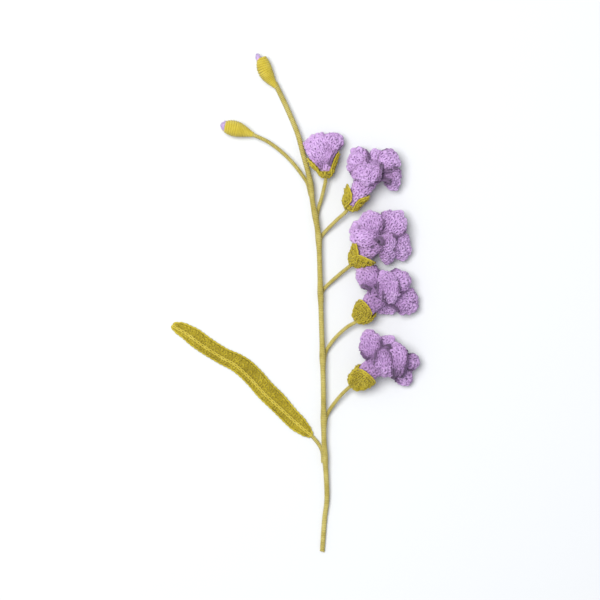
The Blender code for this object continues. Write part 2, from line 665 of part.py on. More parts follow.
def leaf(olive, wound, metal):
    """A long blade worked from its middle rib outwards, lying flat, and its stalk."""
    rib = smooth_path([(x, y, 0.0) for x, y in LEAF_RIB], LEAF_SPACING)
    count = len(rib)
    columns = len(LEAF_SECTION)
    mesh = bpy.data.meshes.new("leaf")
    blade = bmesh.new()
    bmesh.ops.create_grid(blade, x_segments=columns - 1, y_segments=count - 1, size=1.0)
    for vert in blade.verts:
        row = round((vert.co.y + 1.0) / 2.0 * (count - 1))
        column = round((vert.co.x + 1.0) / 2.0 * (columns - 1))
        share, height = LEAF_SECTION[column]
        ahead = (rib[min(row + 1, count - 1)] - rib[max(row - 1, 0)]).normalized()
        side = Vector((ahead.y, -ahead.x, 0.0))
        s = row / (count - 1)
        scallop = LEAF_SCALLOP * (row % 2) if abs(share) == 1.0 else 0.0
        reach = share * (leaf_reach(s, share > 0) - scallop)
        vert.co = (rib[row] + side * reach) * MM
        vert.co.z = height * MM
    rim = [edge for edge in blade.edges if edge.is_boundary]
    skirt = bmesh.ops.extrude_edge_only(blade, edges=rim)
    foot = [item for item in skirt["geom"] if isinstance(item, bmesh.types.BMVert)]
    for vert in foot:
        vert.co.z = 0.0
    bottom = [edge for edge in blade.edges if edge.is_boundary]
    bmesh.ops.contextual_create(blade, geom=bottom)
    bmesh.ops.triangulate(blade, faces=blade.faces[:])
    bmesh.ops.recalc_face_normals(blade, faces=blade.faces[:])
    blade.to_mesh(mesh)
    blade.free()
    body = mesh_object("leaf", mesh, olive)

    rib_start = Vector((LEAF_RIB[0][0], LEAF_RIB[0][1], LEAF_WIRE_HEIGHT))
    channel_path = [Vector((p.x, p.y, LEAF_WIRE_HEIGHT))
                    for p in rib[: count - LEAF_WIRE_END : 2]]
    channel_path[0] = channel_path[0] * 2 - channel_path[1]
    channel = tube("leaf_channel", channel_path, [STALK_WIRE_RADIUS + GAP] * len(channel_path),
                   WIRE_RESOLUTION, olive, capped=True)
    combine(body, [channel], operation="DIFFERENCE")

    stalk = smooth_path(LEAF_STALK, STALK_SPACING)
    wound_sleeve("leaf_stalk_wrap", stalk, [STALK_RADIUS] * len(stalk), STALK_WALL, wound)
    wire_path = stalk + [rib_start] + channel_path[1:-1]
    wire("leaf_wire", wire_path, STALK_WIRE_RADIUS, metal)


def main_stem(wound, metal):
    """The long wire up to the top bud, with the yarn wound round it."""
    path = smooth_path(MAIN_STEM, STEM_SPACING)
    radii = []
    for place in path:
        share = min(1.0, (place.y - path[0].y) / STEM_TAPER)
        radii.append(STEM_END_RADIUS + (STEM_RADIUS - STEM_END_RADIUS) * share)
    wound_sleeve("main_stem_wrap", path, radii, STEM_WALL, wound)
    bud_direction = (Vector(BUD_1_TOP) - path[-1]).normalized()
    wire("main_stem_wire", path + [path[-1] + bud_direction * WIRE_IN_BUD], STEM_WIRE_RADIUS,
         metal)


def bud_2_stalk(wound, metal):
    path = smooth_path(BUD_2_STALK, STALK_SPACING)
    wound_sleeve("bud_2_stalk_wrap", path, [STALK_RADIUS] * len(path), STALK_WALL, wound)
    direction = (Vector(BUD_2_TOP) - path[-1]).normalized()
    wire("bud_2_stalk_wire", path + [path[-1] + direction * WIRE_IN_BUD], STALK_WIRE_RADIUS,
         metal)


def build():
    clear_scene()
    collection = bpy.data.collections.new(COLLECTION)
    bpy.context.scene.collection.children.link(collection)
    lilac = yarn("lilac_yarn", LILAC)
    olive = yarn("olive_yarn", OLIVE)
    bud_olive = yarn("light_olive_yarn", BUD_OLIVE)
    wound = yarn("wound_olive_yarn", WOUND_OLIVE, roughness=0.8)
    metal = yarn("steel_wire", WIRE_GREY, roughness=0.4, metallic=1.0)

    main_stem(wound, metal)
    bud(1, MAIN_STEM[-1], BUD_1_TOP, BUD_1_WIDEST, STEM_WIRE_RADIUS + GAP, bud_olive,
        lilac)
    bud_2_stalk(wound, metal)
    bud(2, BUD_2_STALK[-1], BUD_2_TOP, BUD_2_WIDEST, STALK_WIRE_RADIUS + GAP, bud_olive,
        lilac)
    for number, flower in enumerate(FLOWERS, start=1):
        flower_stalk(number, flower, wound, metal)
        cut_clear(calyx(number, flower, olive), corolla(number, flower, lilac))
    leaf(olive, wound, metal)


build()
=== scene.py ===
# %% [markdown]
# # A crocheted freesia stem
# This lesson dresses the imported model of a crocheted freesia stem: five ruffled lilac flowers,
# two closed buds and one long leaf, worked in cotton yarn on wires that are wound with more
# yarn, and bound along one main stem. The stem lies flat and the camera looks straight down.
# The plain solids keep their places, and each piece that is made here stands for one of them.

import math

import bpy
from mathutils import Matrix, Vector


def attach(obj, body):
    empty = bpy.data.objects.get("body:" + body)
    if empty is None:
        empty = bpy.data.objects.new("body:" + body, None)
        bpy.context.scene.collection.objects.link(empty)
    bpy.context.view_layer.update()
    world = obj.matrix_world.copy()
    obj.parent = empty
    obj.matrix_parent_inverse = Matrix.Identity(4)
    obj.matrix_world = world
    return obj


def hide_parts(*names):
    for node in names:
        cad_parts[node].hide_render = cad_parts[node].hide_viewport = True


MM = 0.001
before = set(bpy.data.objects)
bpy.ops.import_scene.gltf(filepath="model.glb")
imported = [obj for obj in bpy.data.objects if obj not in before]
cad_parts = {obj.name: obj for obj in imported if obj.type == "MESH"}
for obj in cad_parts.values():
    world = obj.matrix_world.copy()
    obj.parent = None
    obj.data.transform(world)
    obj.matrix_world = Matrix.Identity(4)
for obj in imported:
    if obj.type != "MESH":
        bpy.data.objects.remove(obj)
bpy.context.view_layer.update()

# %% [markdown]
# The photograph was taken from straight above, from so far away that nothing leans outwards.
# A long lens high over the surface gives the same view, and leaves the object itself alone.

# %% The camera
CAMERA_HEIGHT = 1.6
SENSOR_WIDTH = 36.0
VIEW_WIDTH = 0.3673
VIEW_CENTRE = (0.00227, 0.00196)
STEM_PLANE = 0.0065


def new_object(name, data):
    """An object in the scene that holds the given mesh, light or camera."""
    item = bpy.data.objects.new(name, data)
    bpy.context.scene.collection.objects.link(item)
    return item


camera_data = bpy.data.cameras.new("overhead_camera")
camera_data.sensor_width = SENSOR_WIDTH
camera_data.lens = SENSOR_WIDTH * (CAMERA_HEIGHT - STEM_PLANE) / VIEW_WIDTH
camera = new_object("overhead_camera", camera_data)
camera.location = (*VIEW_CENTRE, CAMERA_HEIGHT)
bpy.context.scene.camera = camera
print("lens", round(camera_data.lens, 1), "mm")

# %% [markdown]
# A pale table top and daylight from a large window at the upper left give the soft shadows
# that fall to the right of each flower. One wide area light stands for the window, and an even
# pale sky fills the shadows.

# %% The floor and the light
FLOOR_COLOUR = (0.68, 0.692, 0.70, 1.0)
FLOOR_ROUGHNESS = 0.7
FLOOR_REACH = 6.0
WINDOW_PLACE = Vector((-0.40, 0.27, 1.75))
WINDOW_SIZE = 0.95
WINDOW_POWER = 35.0
SKY_COLOUR = (0.93, 0.95, 1.0, 1.0)
SKY_STRENGTH = 0.54


def new_material(name, inputs):
    """A material with some plain inputs set on its shader, and the shader's node."""
    material = bpy.data.materials.new(name)
    material.use_nodes = True
    shader = material.node_tree.nodes["Principled BSDF"]
    for title, value in inputs.items():
        shader.inputs[title].default_value = value
    return material, shader


bpy.context.scene.view_settings.view_transform = "Standard"
world = bpy.data.worlds.new("pale_sky")
world.use_nodes = True
sky = world.node_tree.nodes["Background"]
sky.inputs["Color"].default_value = SKY_COLOUR
sky.inputs["Strength"].default_value = SKY_STRENGTH
bpy.context.scene.world = world

window_data = bpy.data.lights.new("window", "AREA")
window_data.shape = "DISK"
window_data.size = WINDOW_SIZE
window_data.energy = WINDOW_POWER
window = new_object("window", window_data)
window.location = WINDOW_PLACE
window.rotation_euler = WINDOW_PLACE.to_track_quat("Z", "Y").to_euler()

floor_mesh = bpy.data.meshes.new("table_top")
corners = [(x * FLOOR_REACH, y * FLOOR_REACH, 0.0)
           for x, y in ((-1, -1), (1, -1), (1, 1), (-1, 1))]
floor_mesh.from_pydata(corners, [], [(0, 1, 2, 3)])
floor = new_object("table_top", floor_mesh)
paint, _ = new_material("table_paint", {"Base Color": FLOOR_COLOUR,
                                        "Roughness": FLOOR_ROUGHNESS})
floor_mesh.materials.append(paint)
print("window at", tuple(WINDOW_PLACE))

# %% [markdown]
# ## Building node trees from short calls
# Both Geometry Nodes trees and materials are sets of nodes with links between their sockets.
# These helpers add a node, set what is plain about it and feed its inputs by name, either with
# a value or with another node's output, so that each tree below reads like a recipe.

# %% Helpers for nodes
def feed(tree, socket, value):
    """Links an output to the socket, or sets the socket to a plain value."""
    if isinstance(value, bpy.types.NodeSocket):
        tree.links.new(value, socket)
    else:
        socket.default_value = value


def add(tree, kind, inputs=None, **settings):
    """Adds a node with its settings, and feeds its inputs by name or by number."""
    node = tree.nodes.new(kind)
    for key, value in settings.items():
        setattr(node, key, value)
    for title, value in (inputs or {}).items():
        if isinstance(title, int):
            socket = node.inputs[title]
        else:
            socket = next(s for s in node.inputs if s.name == title and s.enabled)
        feed(tree, socket, value)
    return node


def calc(tree, operation, *values):
    """One step of arithmetic on numbers."""
    return add(tree, "ShaderNodeMath", dict(enumerate(values)), operation=operation).outputs[0]


def reckon(tree, operation, first, second):
    """One step of arithmetic on vectors."""
    if operation == "SCALE":
        return add(tree, "ShaderNodeVectorMath", {0: first, "Scale": second},
                   operation=operation).outputs[0]
    return add(tree, "ShaderNodeVectorMath", {0: first, 1: second},
               operation=operation).outputs[0]


def xyz(tree, x=0.0, y=0.0, z=0.0):
    """A vector from its three parts."""
    return add(tree, "ShaderNodeCombineXYZ", {0: x, 1: y, 2: z}).outputs[0]


def noise(tree, place, scale, detail):
    """Soft random spots, as a number from 0 to 1."""
    return add(tree, "ShaderNodeTexNoise",
               {"Vector": place, "Scale": scale, "Detail": detail}).outputs["Fac"]


def shader_ramp(tree, factor, stops):
    """A colour ramp through (position, colour) stops."""
    ramp = add(tree, "ShaderNodeValToRGB", {"Fac": factor})
    elements = ramp.color_ramp.elements
    while len(elements) < len(stops):
        elements.new(0.5)
    for element, (position, colour) in zip(elements, stops):
        element.position = position
        element.color = (*colour, 1.0)
    return ramp.outputs["Color"]


print("node helpers ready")

# %% [markdown]
# ## Cotton yarn
# The real yarn is soft, matte cotton of a few thin plies. Close up, each strand has slanted
# grooves between its plies, loose fibres catch the light, and the dye is a little uneven. In
# the colour, the grooves get painted shade, the fibres a fine painted glint that is lighter and
# darker at random, and the dye a mottle. Every strand that is made below carries two
# attributes, how far along it a point lies and how far round it, so the plies can follow the
# strand wherever it goes. The mottling reads the Object coordinates instead, because it runs
# across strands. One more attribute carries painted shade for the hollows and the creases.

# %% The yarn materials
PLY_PITCH = 0.0011
PLY_COUNT = 3
FIBRE_SCALE = 4200.0
MOTTLE_SCALE = 260.0
BLOTCH_SCALE = 55.0
# How much each layer changes the tone: the dye's mottle and blotches, painted shade in the
# ply grooves, a painted glint on the fibres, and painted shade in the hollows and creases.
PLY_GROOVE_SHADE = 0.16
MOTTLE_TONE = 0.5
BLOTCH_TONE = 0.34
FIBRE_GLINT = 0.2
HOLLOW_PAINTED_SHADE = 0.2
# The darkest stop, a share of the dark colour, which the deepest painted shade reaches.
DEEPEST = 0.4
TONE_STOPS = (0.0, 0.25, 0.5, 0.78)
# The relief of plies and fibres.
PLY_RELIEF = 0.45
FIBRE_RELIEF = 0.4
BUMP_STRENGTH = 0.6
BUMP_HEIGHT = 0.00025
# How the yarn takes the light.
FINISH = {"Roughness": 0.9, "Specular IOR Level": 0.2, "Sheen Weight": 0.15,
          "Sheen Roughness": 0.5}
# Each yarn's name, and its dark, middle and light colour, which its tone moves between. The
# yarns named shaded are darker copies for the backings: painted shade in the gaps between the
# stitches.
YARNS = (
    ("lilac_cotton", (0.40, 0.23, 0.46), (0.58, 0.375, 0.67), (0.70, 0.49, 0.78)),
    ("deeper_lilac_cotton", (0.34, 0.19, 0.40), (0.51, 0.32, 0.59), (0.63, 0.43, 0.71)),
    ("lilac_cotton_shaded", (0.30, 0.165, 0.36), (0.43, 0.26, 0.51), (0.54, 0.345, 0.63)),
    ("olive_cotton", (0.30, 0.225, 0.008), (0.475, 0.38, 0.025), (0.61, 0.515, 0.075)),
    ("olive_cotton_shaded", (0.20, 0.15, 0.01), (0.30, 0.235, 0.02), (0.40, 0.32, 0.035)),
    ("light_olive_cotton", (0.41, 0.315, 0.02), (0.54, 0.43, 0.045), (0.65, 0.55, 0.11)),
    ("wound_olive_cotton", (0.31, 0.24, 0.035), (0.47, 0.39, 0.09), (0.63, 0.56, 0.21)),
    ("pale_lilac_cotton", (0.42, 0.32, 0.52), (0.54, 0.45, 0.66), (0.66, 0.58, 0.76)),
)


def mark(tree, name):
    """A number that is stored on the yarn's own points."""
    return add(tree, "ShaderNodeAttribute", attribute_name=name).outputs["Fac"]


def yarn_material(name, dark, mid, light):
    """Cotton yarn: mottled dye, slanted plies with painted shade in their grooves, a fine fuzz
    of fibres with a painted glint, and painted shade in the hollows.
    """
    material, shader = new_material(name, FINISH)
    tree = material.node_tree
    place = add(tree, "ShaderNodeTexCoord").outputs["Object"]

    turns = calc(tree, "DIVIDE", mark(tree, "ply_along"), PLY_PITCH)
    turned = calc(tree, "MULTIPLY_ADD", mark(tree, "ply_round"), float(PLY_COUNT), turns)
    wave = calc(tree, "SINE", calc(tree, "MULTIPLY", turned, 2 * math.pi))
    ply = calc(tree, "MULTIPLY_ADD", wave, 0.5, 0.5)

    fibres = noise(tree, place, FIBRE_SCALE, 2.0)
    mottle = noise(tree, place, MOTTLE_SCALE, 3.0)
    blotch = noise(tree, place, BLOTCH_SCALE, 1.0)
    # Painted light in the tone: painted shade in ply grooves and hollows, a painted fibre glint.
    tone = calc(tree, "MULTIPLY_ADD", fibres, FIBRE_GLINT, -0.5 * FIBRE_GLINT)
    for layer, weight in ((ply, PLY_GROOVE_SHADE), (mottle, MOTTLE_TONE), (blotch, BLOTCH_TONE),
                          (mark(tree, "hollow"), -HOLLOW_PAINTED_SHADE)):
        tone = calc(tree, "MULTIPLY_ADD", layer, weight, tone)
    deepest = [part * DEEPEST for part in dark]
    colour = shader_ramp(tree, tone, list(zip(TONE_STOPS, (deepest, dark, mid, light))))
    feed(tree, shader.inputs["Base Color"], colour)

    height = calc(tree, "MULTIPLY_ADD", ply, PLY_RELIEF,
                  calc(tree, "MULTIPLY", fibres, FIBRE_RELIEF))
    bump = add(tree, "ShaderNodeBump",
               {"Height": height, "Strength": BUMP_STRENGTH, "Distance": BUMP_HEIGHT})
    feed(tree, shader.inputs["Normal"], bump.outputs["Normal"])
    return material


# The shaded yarns are darker copies for the backings, painted shade between the stitches.
(LILAC, LILAC_PAINTED_DARKER, LILAC_SHADE_BACKING, OLIVE, OLIVE_SHADE_BACKING, BUD_OLIVE, WOUND,
 PALE_LILAC) = (yarn_material(*yarn) for yarn in YARNS)
print("yarn materials", len(YARNS))

# %% [markdown]
# ## Places and sheets
# Each petal, sepal, tube and bud starts as a bent sheet: a function takes the share of the way
# along it, s from 0 to 1, and the place across it, v from -1 to 1, and answers with a point in
# millimetres. To work stitches of one size, the sheet's rows and columns have to be evenly
# spaced on the surface itself, so its grid is measured out along the bent rows first. A UV map
# keeps where on the sheet each point lies, across and along.

# %% Helpers for sheets
FINE_STEPS = 24


def evenly(points, count):
    """Where to cut the line through the points into even lengths, as shares of its steps."""
    lengths = [0.0]
    for start, end in zip(points, points[1:]):
        lengths.append(lengths[-1] + (end - start).length)
    placed = []
    segment = 0
    for index in range(count + 1):
        wanted = lengths[-1] * index / count
        while segment < len(points) - 2 and lengths[segment + 1] < wanted:
            segment += 1
        span = max(lengths[segment + 1] - lengths[segment], 1e-9)
        share = min(1.0, (wanted - lengths[segment]) / span)
        placed.append((segment + share) / (len(points) - 1))
    return placed


def sheet_points(place, rows, columns):
    """A grid of places, with even rows along the middle and even columns on each row."""
    fine = [step / FINE_STEPS for step in range(FINE_STEPS + 1)]
    heights = evenly([place(s, 0.0) for s in fine], rows)
    points = []
    for s in heights:
        shares = evenly([place(s, 2 * v - 1) for v in fine], columns)
        points.append([place(s, 2 * v - 1) for v in shares])
    return points


def sheet_mesh(name, points):
    """An open mesh on a grid of places, with a UV map of the sheet."""
    rows, columns = len(points) - 1, len(points[0]) - 1
    mesh = bpy.data.meshes.new(name)
    faces = []
    for row in range(rows):
        for column in range(columns):
            corner = row * (columns + 1) + column
            faces.append((corner, corner + 1, corner + columns + 2, corner + columns + 1))
    mesh.from_pydata([point * MM for line in points for point in line], [], faces)
    layer = mesh.uv_layers.new(name="sheet")
    for loop in mesh.loops:
        row, column = divmod(loop.vertex_index, columns + 1)
        layer.data[loop.index].uv = (column / columns, row / rows)
    mesh.shade_smooth()
    return mesh


def line_mesh(name, points, **marks):
    """A bare line of points. Each mark is an attribute with a value for every point."""
    mesh = bpy.data.meshes.new(name)
    mesh.from_pydata([point * MM for point in points],
                     [(index, index + 1) for index in range(len(points) - 1)], [])
    for title, values in marks.items():
        if isinstance(values[0], Vector):
            layer = mesh.attributes.new(title, "FLOAT_VECTOR", "POINT")
            layer.data.foreach_set("vector", [part for value in values for part in value])
        else:
            layer = mesh.attributes.new(title, "FLOAT", "POINT")
            layer.data.foreach_set("value", values)
    return mesh


def line_length(points):
    """The length of the line through the points."""
    return sum((end - start).length for start, end in zip(points, points[1:]))


def settle(item):
    """Works an object's modifiers into a plain mesh, and removes them."""
    depsgraph = bpy.context.evaluated_depsgraph_get()
    mesh = bpy.data.meshes.new_from_object(item.evaluated_get(depsgraph))
    item.modifiers.clear()
    item.data = mesh
    return item


def run_tree(item, group, **inputs):
    """Runs a Geometry Nodes tree on an object, and keeps the result as a plain mesh."""
    modifier = item.modifiers.new(group.name, "NODES")
    modifier.node_group = group
    for socket in group.interface.items_tree:
        title = socket.name.replace(" ", "_").lower()
        if socket.in_out == "INPUT" and title in inputs:
            modifier[socket.identifier] = inputs[title]
    return settle(item)


def backing_sheet(name, points, thickness, material):
    """A thin sheet with a thickness, which closes the gaps between stitches in painted shade."""
    base = new_object(name, sheet_mesh(name, points))
    thick = base.modifiers.new("thickness", "SOLIDIFY")
    thick.thickness = thickness * MM
    thick.offset = 0.0
    settle(base).data.materials.append(material)
    return base


def join(name, items):
    """One object of several."""
    with bpy.context.temp_override(active_object=items[0], selected_editable_objects=items):
        bpy.ops.object.join()
    items[0].name = name
    return items[0]


print("a sheet is measured in", FINE_STEPS, "steps")

# %% [markdown]
# ## The stitch
# Crochet is one stitch over and over: a post of yarn that leans a little, and on its top a
# chain loop that lies across and links to the next one. Modelling it once and letting Geometry
# Nodes set it along every row is what the real maker does too. The stitch is made of five
# short Bezier strands: two that lean apart and one across their tops on the face, and two on
# the back. A strand becomes yarn when a small circle follows it.

# %% Strands of yarn
STRAND_STEPS = 5
STRAND_SIDES = 6
# Each strand of the stitch: its start, two handles and its end, in millimetres in its cell.
STITCH_STRANDS = (
    ((0.0, -1.8, -0.3), (-0.9, -1.0, 1.6), (-1.6, 0.6, 1.8), (-0.9, 1.8, -0.3)),
    ((0.1, -1.7, -0.3), (0.9, -0.8, 1.4), (1.6, 0.5, 1.7), (1.0, 1.8, -0.3)),
    ((-1.9, 0.9, -0.2), (-0.9, 2.0, 2.0), (0.9, 1.9, 2.0), (1.9, 0.9, -0.2)),
    ((0.2, -1.8, 0.2), (1.3, -0.6, -1.5), (-0.9, 0.4, -1.6), (-0.4, 1.4, 0.2)),
    ((-1.9, 1.2, 0.2), (-0.9, 0.4, -1.4), (0.8, 0.4, -1.3), (1.9, 1.2, 0.2)),
)


def new_tree(name, inputs):
    """A Geometry Nodes tree with named inputs, and the sockets that give them."""
    group = bpy.data.node_groups.new(name, "GeometryNodeTree")
    interface = group.interface
    interface.new_socket("Geometry", in_out="INPUT", socket_type="NodeSocketGeometry")
    for title, kind in inputs:
        interface.new_socket(title, in_out="INPUT", socket_type="NodeSocket" + kind)
    interface.new_socket("Geometry", in_out="OUTPUT", socket_type="NodeSocketGeometry")
    return group, add(group, "NodeGroupInput").outputs


def read(tree, name, kind="FLOAT"):
    """What a named attribute holds at each point."""
    return add(tree, "GeometryNodeInputNamedAttribute", {"Name": name},
               data_type=kind).outputs["Attribute"]


def store(tree, geometry, name, value, kind="FLOAT"):
    """The geometry with a named attribute on its points."""
    return add(tree, "GeometryNodeStoreNamedAttribute",
               {"Geometry": geometry, "Name": name, "Value": value},
               data_type=kind, domain="POINT").outputs["Geometry"]


def yarn_mesh(tree, curves, radius):
    """Gives curves the thickness of yarn, with attributes for where a point is on the strand."""
    circle = add(tree, "GeometryNodeCurvePrimitiveCircle",
                 {"Resolution": STRAND_SIDES, "Radius": radius}).outputs["Curve"]
    length = add(tree, "GeometryNodeSplineParameter").outputs["Length"]
    factor = add(tree, "GeometryNodeSplineParameter").outputs["Factor"]
    return add(tree, "GeometryNodeCurveToMesh",
               {"Curve": store(tree, curves, "ply_along", length),
                "Profile Curve": store(tree, circle, "ply_round", factor),
                "Fill Caps": True}).outputs["Mesh"]


def strands(tree, shapes, radius, mirror=1.0):
    """Short Bezier strands of yarn as one mesh."""
    joined = add(tree, "GeometryNodeJoinGeometry")
    for shape in shapes:
        corners = [(x * mirror * MM, y * MM, z * MM) for x, y, z in shape]
        titles = ("Start", "Start Handle", "End Handle", "End")
        strand = add(tree, "GeometryNodeCurvePrimitiveBezierSegment",
                     {"Resolution": STRAND_STEPS, **dict(zip(titles, corners))})
        tree.links.new(strand.outputs["Curve"], joined.inputs["Geometry"])
    return yarn_mesh(tree, joined.outputs["Geometry"], radius)


def close_tree(tree, geometry, material):
    """Ends a tree: real geometry, smooth, with its material."""
    real = add(tree, "GeometryNodeRealizeInstances", {"Geometry": geometry}).outputs[0]
    smooth = add(tree, "GeometryNodeSetShadeSmooth", {"Geometry": real}).outputs[0]
    dressed = add(tree, "GeometryNodeSetMaterial",
                  {"Geometry": smooth, "Material": material}).outputs[0]
    add(tree, "NodeGroupOutput", {"Geometry": dressed})
    return tree


print("strands in a stitch", len(STITCH_STRANDS))

# %% [markdown]
# ## Rows of stitches on a bent sheet
# The cloth is laid out flat first, in its real size. A grid has a point for each stitch, and
# the rows lie half a stitch apart in turn, as on a brick wall. Seeded draws turn, shake and
# pull each stitch a little, pick it or its mirror image, and let some stand higher. Then the
# cloth is put on the bent sheet: a place on the cloth, divided by the cloth's size, is a place
# on the sheet's UV map, and the map gives the point and the outward way there. Turning the
# stitches before that keeps their shape where a sheet is narrow. An attribute keeps painted
# shade, which grows the deeper a point lies in a hollow between the stitches and, as much as a
# sheet asks, the nearer it is to its sides and ends, and the yarn's colour is darkened by it.

# %% The tree for worked stitches
STITCH_WIDTH = 3.6
STITCH_HEIGHT = 3.3
STITCH_TOP = 1.3
ROW_SHIFT = 0.25
LEAST_SWELL, MOST_SWELL = 0.7, 1.3
TWIST = 0.45
PULL = 2.2
PULL_SCALE = 110.0
MAP_MARGIN = 0.002
# How fast the painted shade grows towards a sheet's sides and towards its ends.
SIDE_FALL = 5.0
END_FALL = 2.5


def draw(tree, low, high, seed, kind="FLOAT"):
    """A seeded random value for each point."""
    return add(tree, "FunctionNodeRandomValue", {"Min": low, "Max": high, "Seed": seed},
               data_type=kind).outputs["Value"]


def flat_cloth(tree, given, wide, tall):
    """The stitches of the cloth, laid out flat in their real size."""
    rows, columns, seed = (given[title] for title in ("Rows", "Columns", "Seed"))
    variants = add(tree, "GeometryNodeJoinGeometry")
    for mirror in (1.0, -1.0):
        stitch = strands(tree, STITCH_STRANDS, given["Yarn Radius"], mirror)
        single = add(tree, "GeometryNodeGeometryToInstance", {"Geometry": stitch}).outputs[0]
        tree.links.new(single, variants.inputs["Geometry"])

    grid = add(tree, "GeometryNodeMeshGrid",
               {"Size X": calc(tree, "MULTIPLY", calc(tree, "SUBTRACT", columns, 1.0), wide),
                "Size Y": calc(tree, "MULTIPLY", calc(tree, "SUBTRACT", rows, 1.0), tall),
                "Vertices X": columns, "Vertices Y": rows}).outputs["Mesh"]
    where = add(tree, "GeometryNodeInputPosition").outputs[0]
    high = add(tree, "ShaderNodeSeparateXYZ", {0: where}).outputs["Y"]
    row = calc(tree, "FLOOR", calc(tree, "MULTIPLY_ADD", rows, 0.5,
                                   calc(tree, "DIVIDE", high, tall)))
    shift = calc(tree, "MULTIPLY_ADD", calc(tree, "PINGPONG", row, 1.0),
                 2 * ROW_SHIFT * wide, -ROW_SHIFT * wide)
    unrest = draw(tree, (-0.5 * wide, -0.5 * tall, 0.0), (0.5 * wide, 0.5 * tall, 0.0), seed,
                  "FLOAT_VECTOR")
    shake = reckon(tree, "SCALE", unrest, given["Jitter"])
    spot = reckon(tree, "ADD", where, xyz(tree, seed))
    pull = add(tree, "ShaderNodeTexNoise",
               {"Vector": spot, "Scale": PULL_SCALE, "Detail": 0.0}).outputs["Color"]
    pull = reckon(tree, "SUBTRACT", pull, (0.5, 0.5, 0.5))
    pull = reckon(tree, "MULTIPLY", pull, (PULL * MM, PULL * MM, 0.0))
    offset = reckon(tree, "ADD", reckon(tree, "ADD", xyz(tree, shift), shake), pull)
    cells = add(tree, "GeometryNodeSetPosition",
                {"Geometry": grid, "Offset": offset}).outputs[0]

    swell = draw(tree, LEAST_SWELL, MOST_SWELL, seed)
    size = xyz(tree, 1.0, 1.0, calc(tree, "MULTIPLY", swell, given["Relief"]))
    choice = draw(tree, 0, 1, seed, "INT")
    twist = draw(tree, (0.0, 0.0, -TWIST), (0.0, 0.0, TWIST), seed, "FLOAT_VECTOR")
    laid = add(tree, "GeometryNodeInstanceOnPoints",
               {"Points": cells, "Instance": variants.outputs["Geometry"],
                "Pick Instance": True, "Instance Index": choice, "Rotation": twist,
                "Scale": size}).outputs["Instances"]
    return add(tree, "GeometryNodeRealizeInstances", {"Geometry": laid}).outputs[0]


def on_sheet(tree, sheet, spot):
    """The point and the outward way of the bent sheet at a place on its UV map."""
    normal = add(tree, "GeometryNodeInputNormal").outputs[0]
    marked = store(tree, sheet, "way_out", normal, "FLOAT_VECTOR")
    values = (add(tree, "GeometryNodeInputPosition").outputs[0],
              read(tree, "way_out", "FLOAT_VECTOR"))
    uv = read(tree, "sheet", "FLOAT_VECTOR")
    return [add(tree, "GeometryNodeSampleUVSurface",
                {"Mesh": marked, "Value": value, "UV Map": uv, "Sample UV": spot},
                data_type="FLOAT_VECTOR").outputs["Value"] for value in values]


def hollow_shade(tree, given, parts):
    """Painted shade: darker down between stitches, and towards the sheet's sides and ends."""
    depth = calc(tree, "DIVIDE", calc(tree, "ABSOLUTE", parts["Z"]), STITCH_TOP * MM)
    shade = calc(tree, "MAXIMUM", calc(tree, "SUBTRACT", 1.0, depth), 0.0)
    side = calc(tree, "ABSOLUTE", calc(tree, "MULTIPLY_ADD", parts["X"], 2.0, -1.0))
    rootward = calc(tree, "SUBTRACT", 1.0, parts["Y"])
    for share, fall, title in ((side, SIDE_FALL, "Side Shade"),
                               (rootward, END_FALL, "Root Shade"),
                               (parts["Y"], END_FALL, "End Shade")):
        near = calc(tree, "POWER", calc(tree, "MAXIMUM", share, 0.0), fall)
        shade = calc(tree, "MULTIPLY_ADD", near, given[title], shade)
    return shade


def stitch_tree():
    """Rows of stitches over a sheet, found again on its surface through its UV map."""
    tree, given = new_tree("worked_stitches", (
        ("Rows", "Int"), ("Columns", "Int"), ("Yarn Radius", "Float"), ("Relief", "Float"),
        ("Jitter", "Float"), ("Side Shade", "Float"), ("Root Shade", "Float"),
        ("End Shade", "Float"), ("Seed", "Int"), ("Material", "Material")))
    wide, tall = STITCH_WIDTH * MM, STITCH_HEIGHT * MM
    flat = flat_cloth(tree, given, wide, tall)
    cloth = xyz(tree, calc(tree, "MULTIPLY", given["Columns"], wide),
                calc(tree, "MULTIPLY", given["Rows"], tall), 1.0)
    where = reckon(tree, "DIVIDE", add(tree, "GeometryNodeInputPosition").outputs[0], cloth)
    parts = add(tree, "ShaderNodeSeparateXYZ",
                {0: reckon(tree, "ADD", where, (0.5, 0.5, 0.0))}).outputs
    inside = reckon(tree, "MAXIMUM", xyz(tree, parts["X"], parts["Y"]),
                    (MAP_MARGIN, MAP_MARGIN, 0.0))
    inside = reckon(tree, "MINIMUM", inside, (1 - MAP_MARGIN, 1 - MAP_MARGIN, 0.0))
    point, way_out = on_sheet(tree, given["Geometry"], inside)
    way_out = reckon(tree, "NORMALIZE", way_out, (0, 0, 0))
    lifted = reckon(tree, "ADD", point, reckon(tree, "SCALE", way_out, parts["Z"]))
    # The painted shade is kept on the stitches, and the yarn's colour darkens with it.
    marked = store(tree, flat, "hollow", hollow_shade(tree, given, parts))
    bent = add(tree, "GeometryNodeSetPosition",
               {"Geometry": marked, "Position": lifted}).outputs[0]
    return close_tree(tree, bent, given["Material"])


WORKED_STITCHES = stitch_tree()
print("stitch tree with", len(WORKED_STITCHES.nodes), "nodes")

# %% [markdown]
# ## The chain edge and the wound yarn
# A finished edge is a row of chain loops, and so is the leaf's middle rib. The loops are set
# along a line at an even pitch, turned to the line and to the side that the line faces. The
# stem and stalks are wires wound with one long thread, turn beside turn. Turning each point of
# a finely divided line by a share of a full turn makes the true helix.

# %% The trees for chains and for winding
LINK_LENGTH = 2.6
# Each strand of a chain loop, in millimetres: X along the chain, Y across it, Z out of it.
LINK_STRANDS = (
    ((-1.5, 0.0, -0.3), (-0.9, 0.9, 0.6), (0.6, 1.2, 0.7), (1.5, 0.2, -0.2)),
    ((-1.5, 0.0, -0.3), (-0.9, -0.9, 0.6), (0.6, -1.2, 0.7), (1.5, -0.2, -0.2)),
)
TURN_STEPS = 10
CORE_SIDES = 8


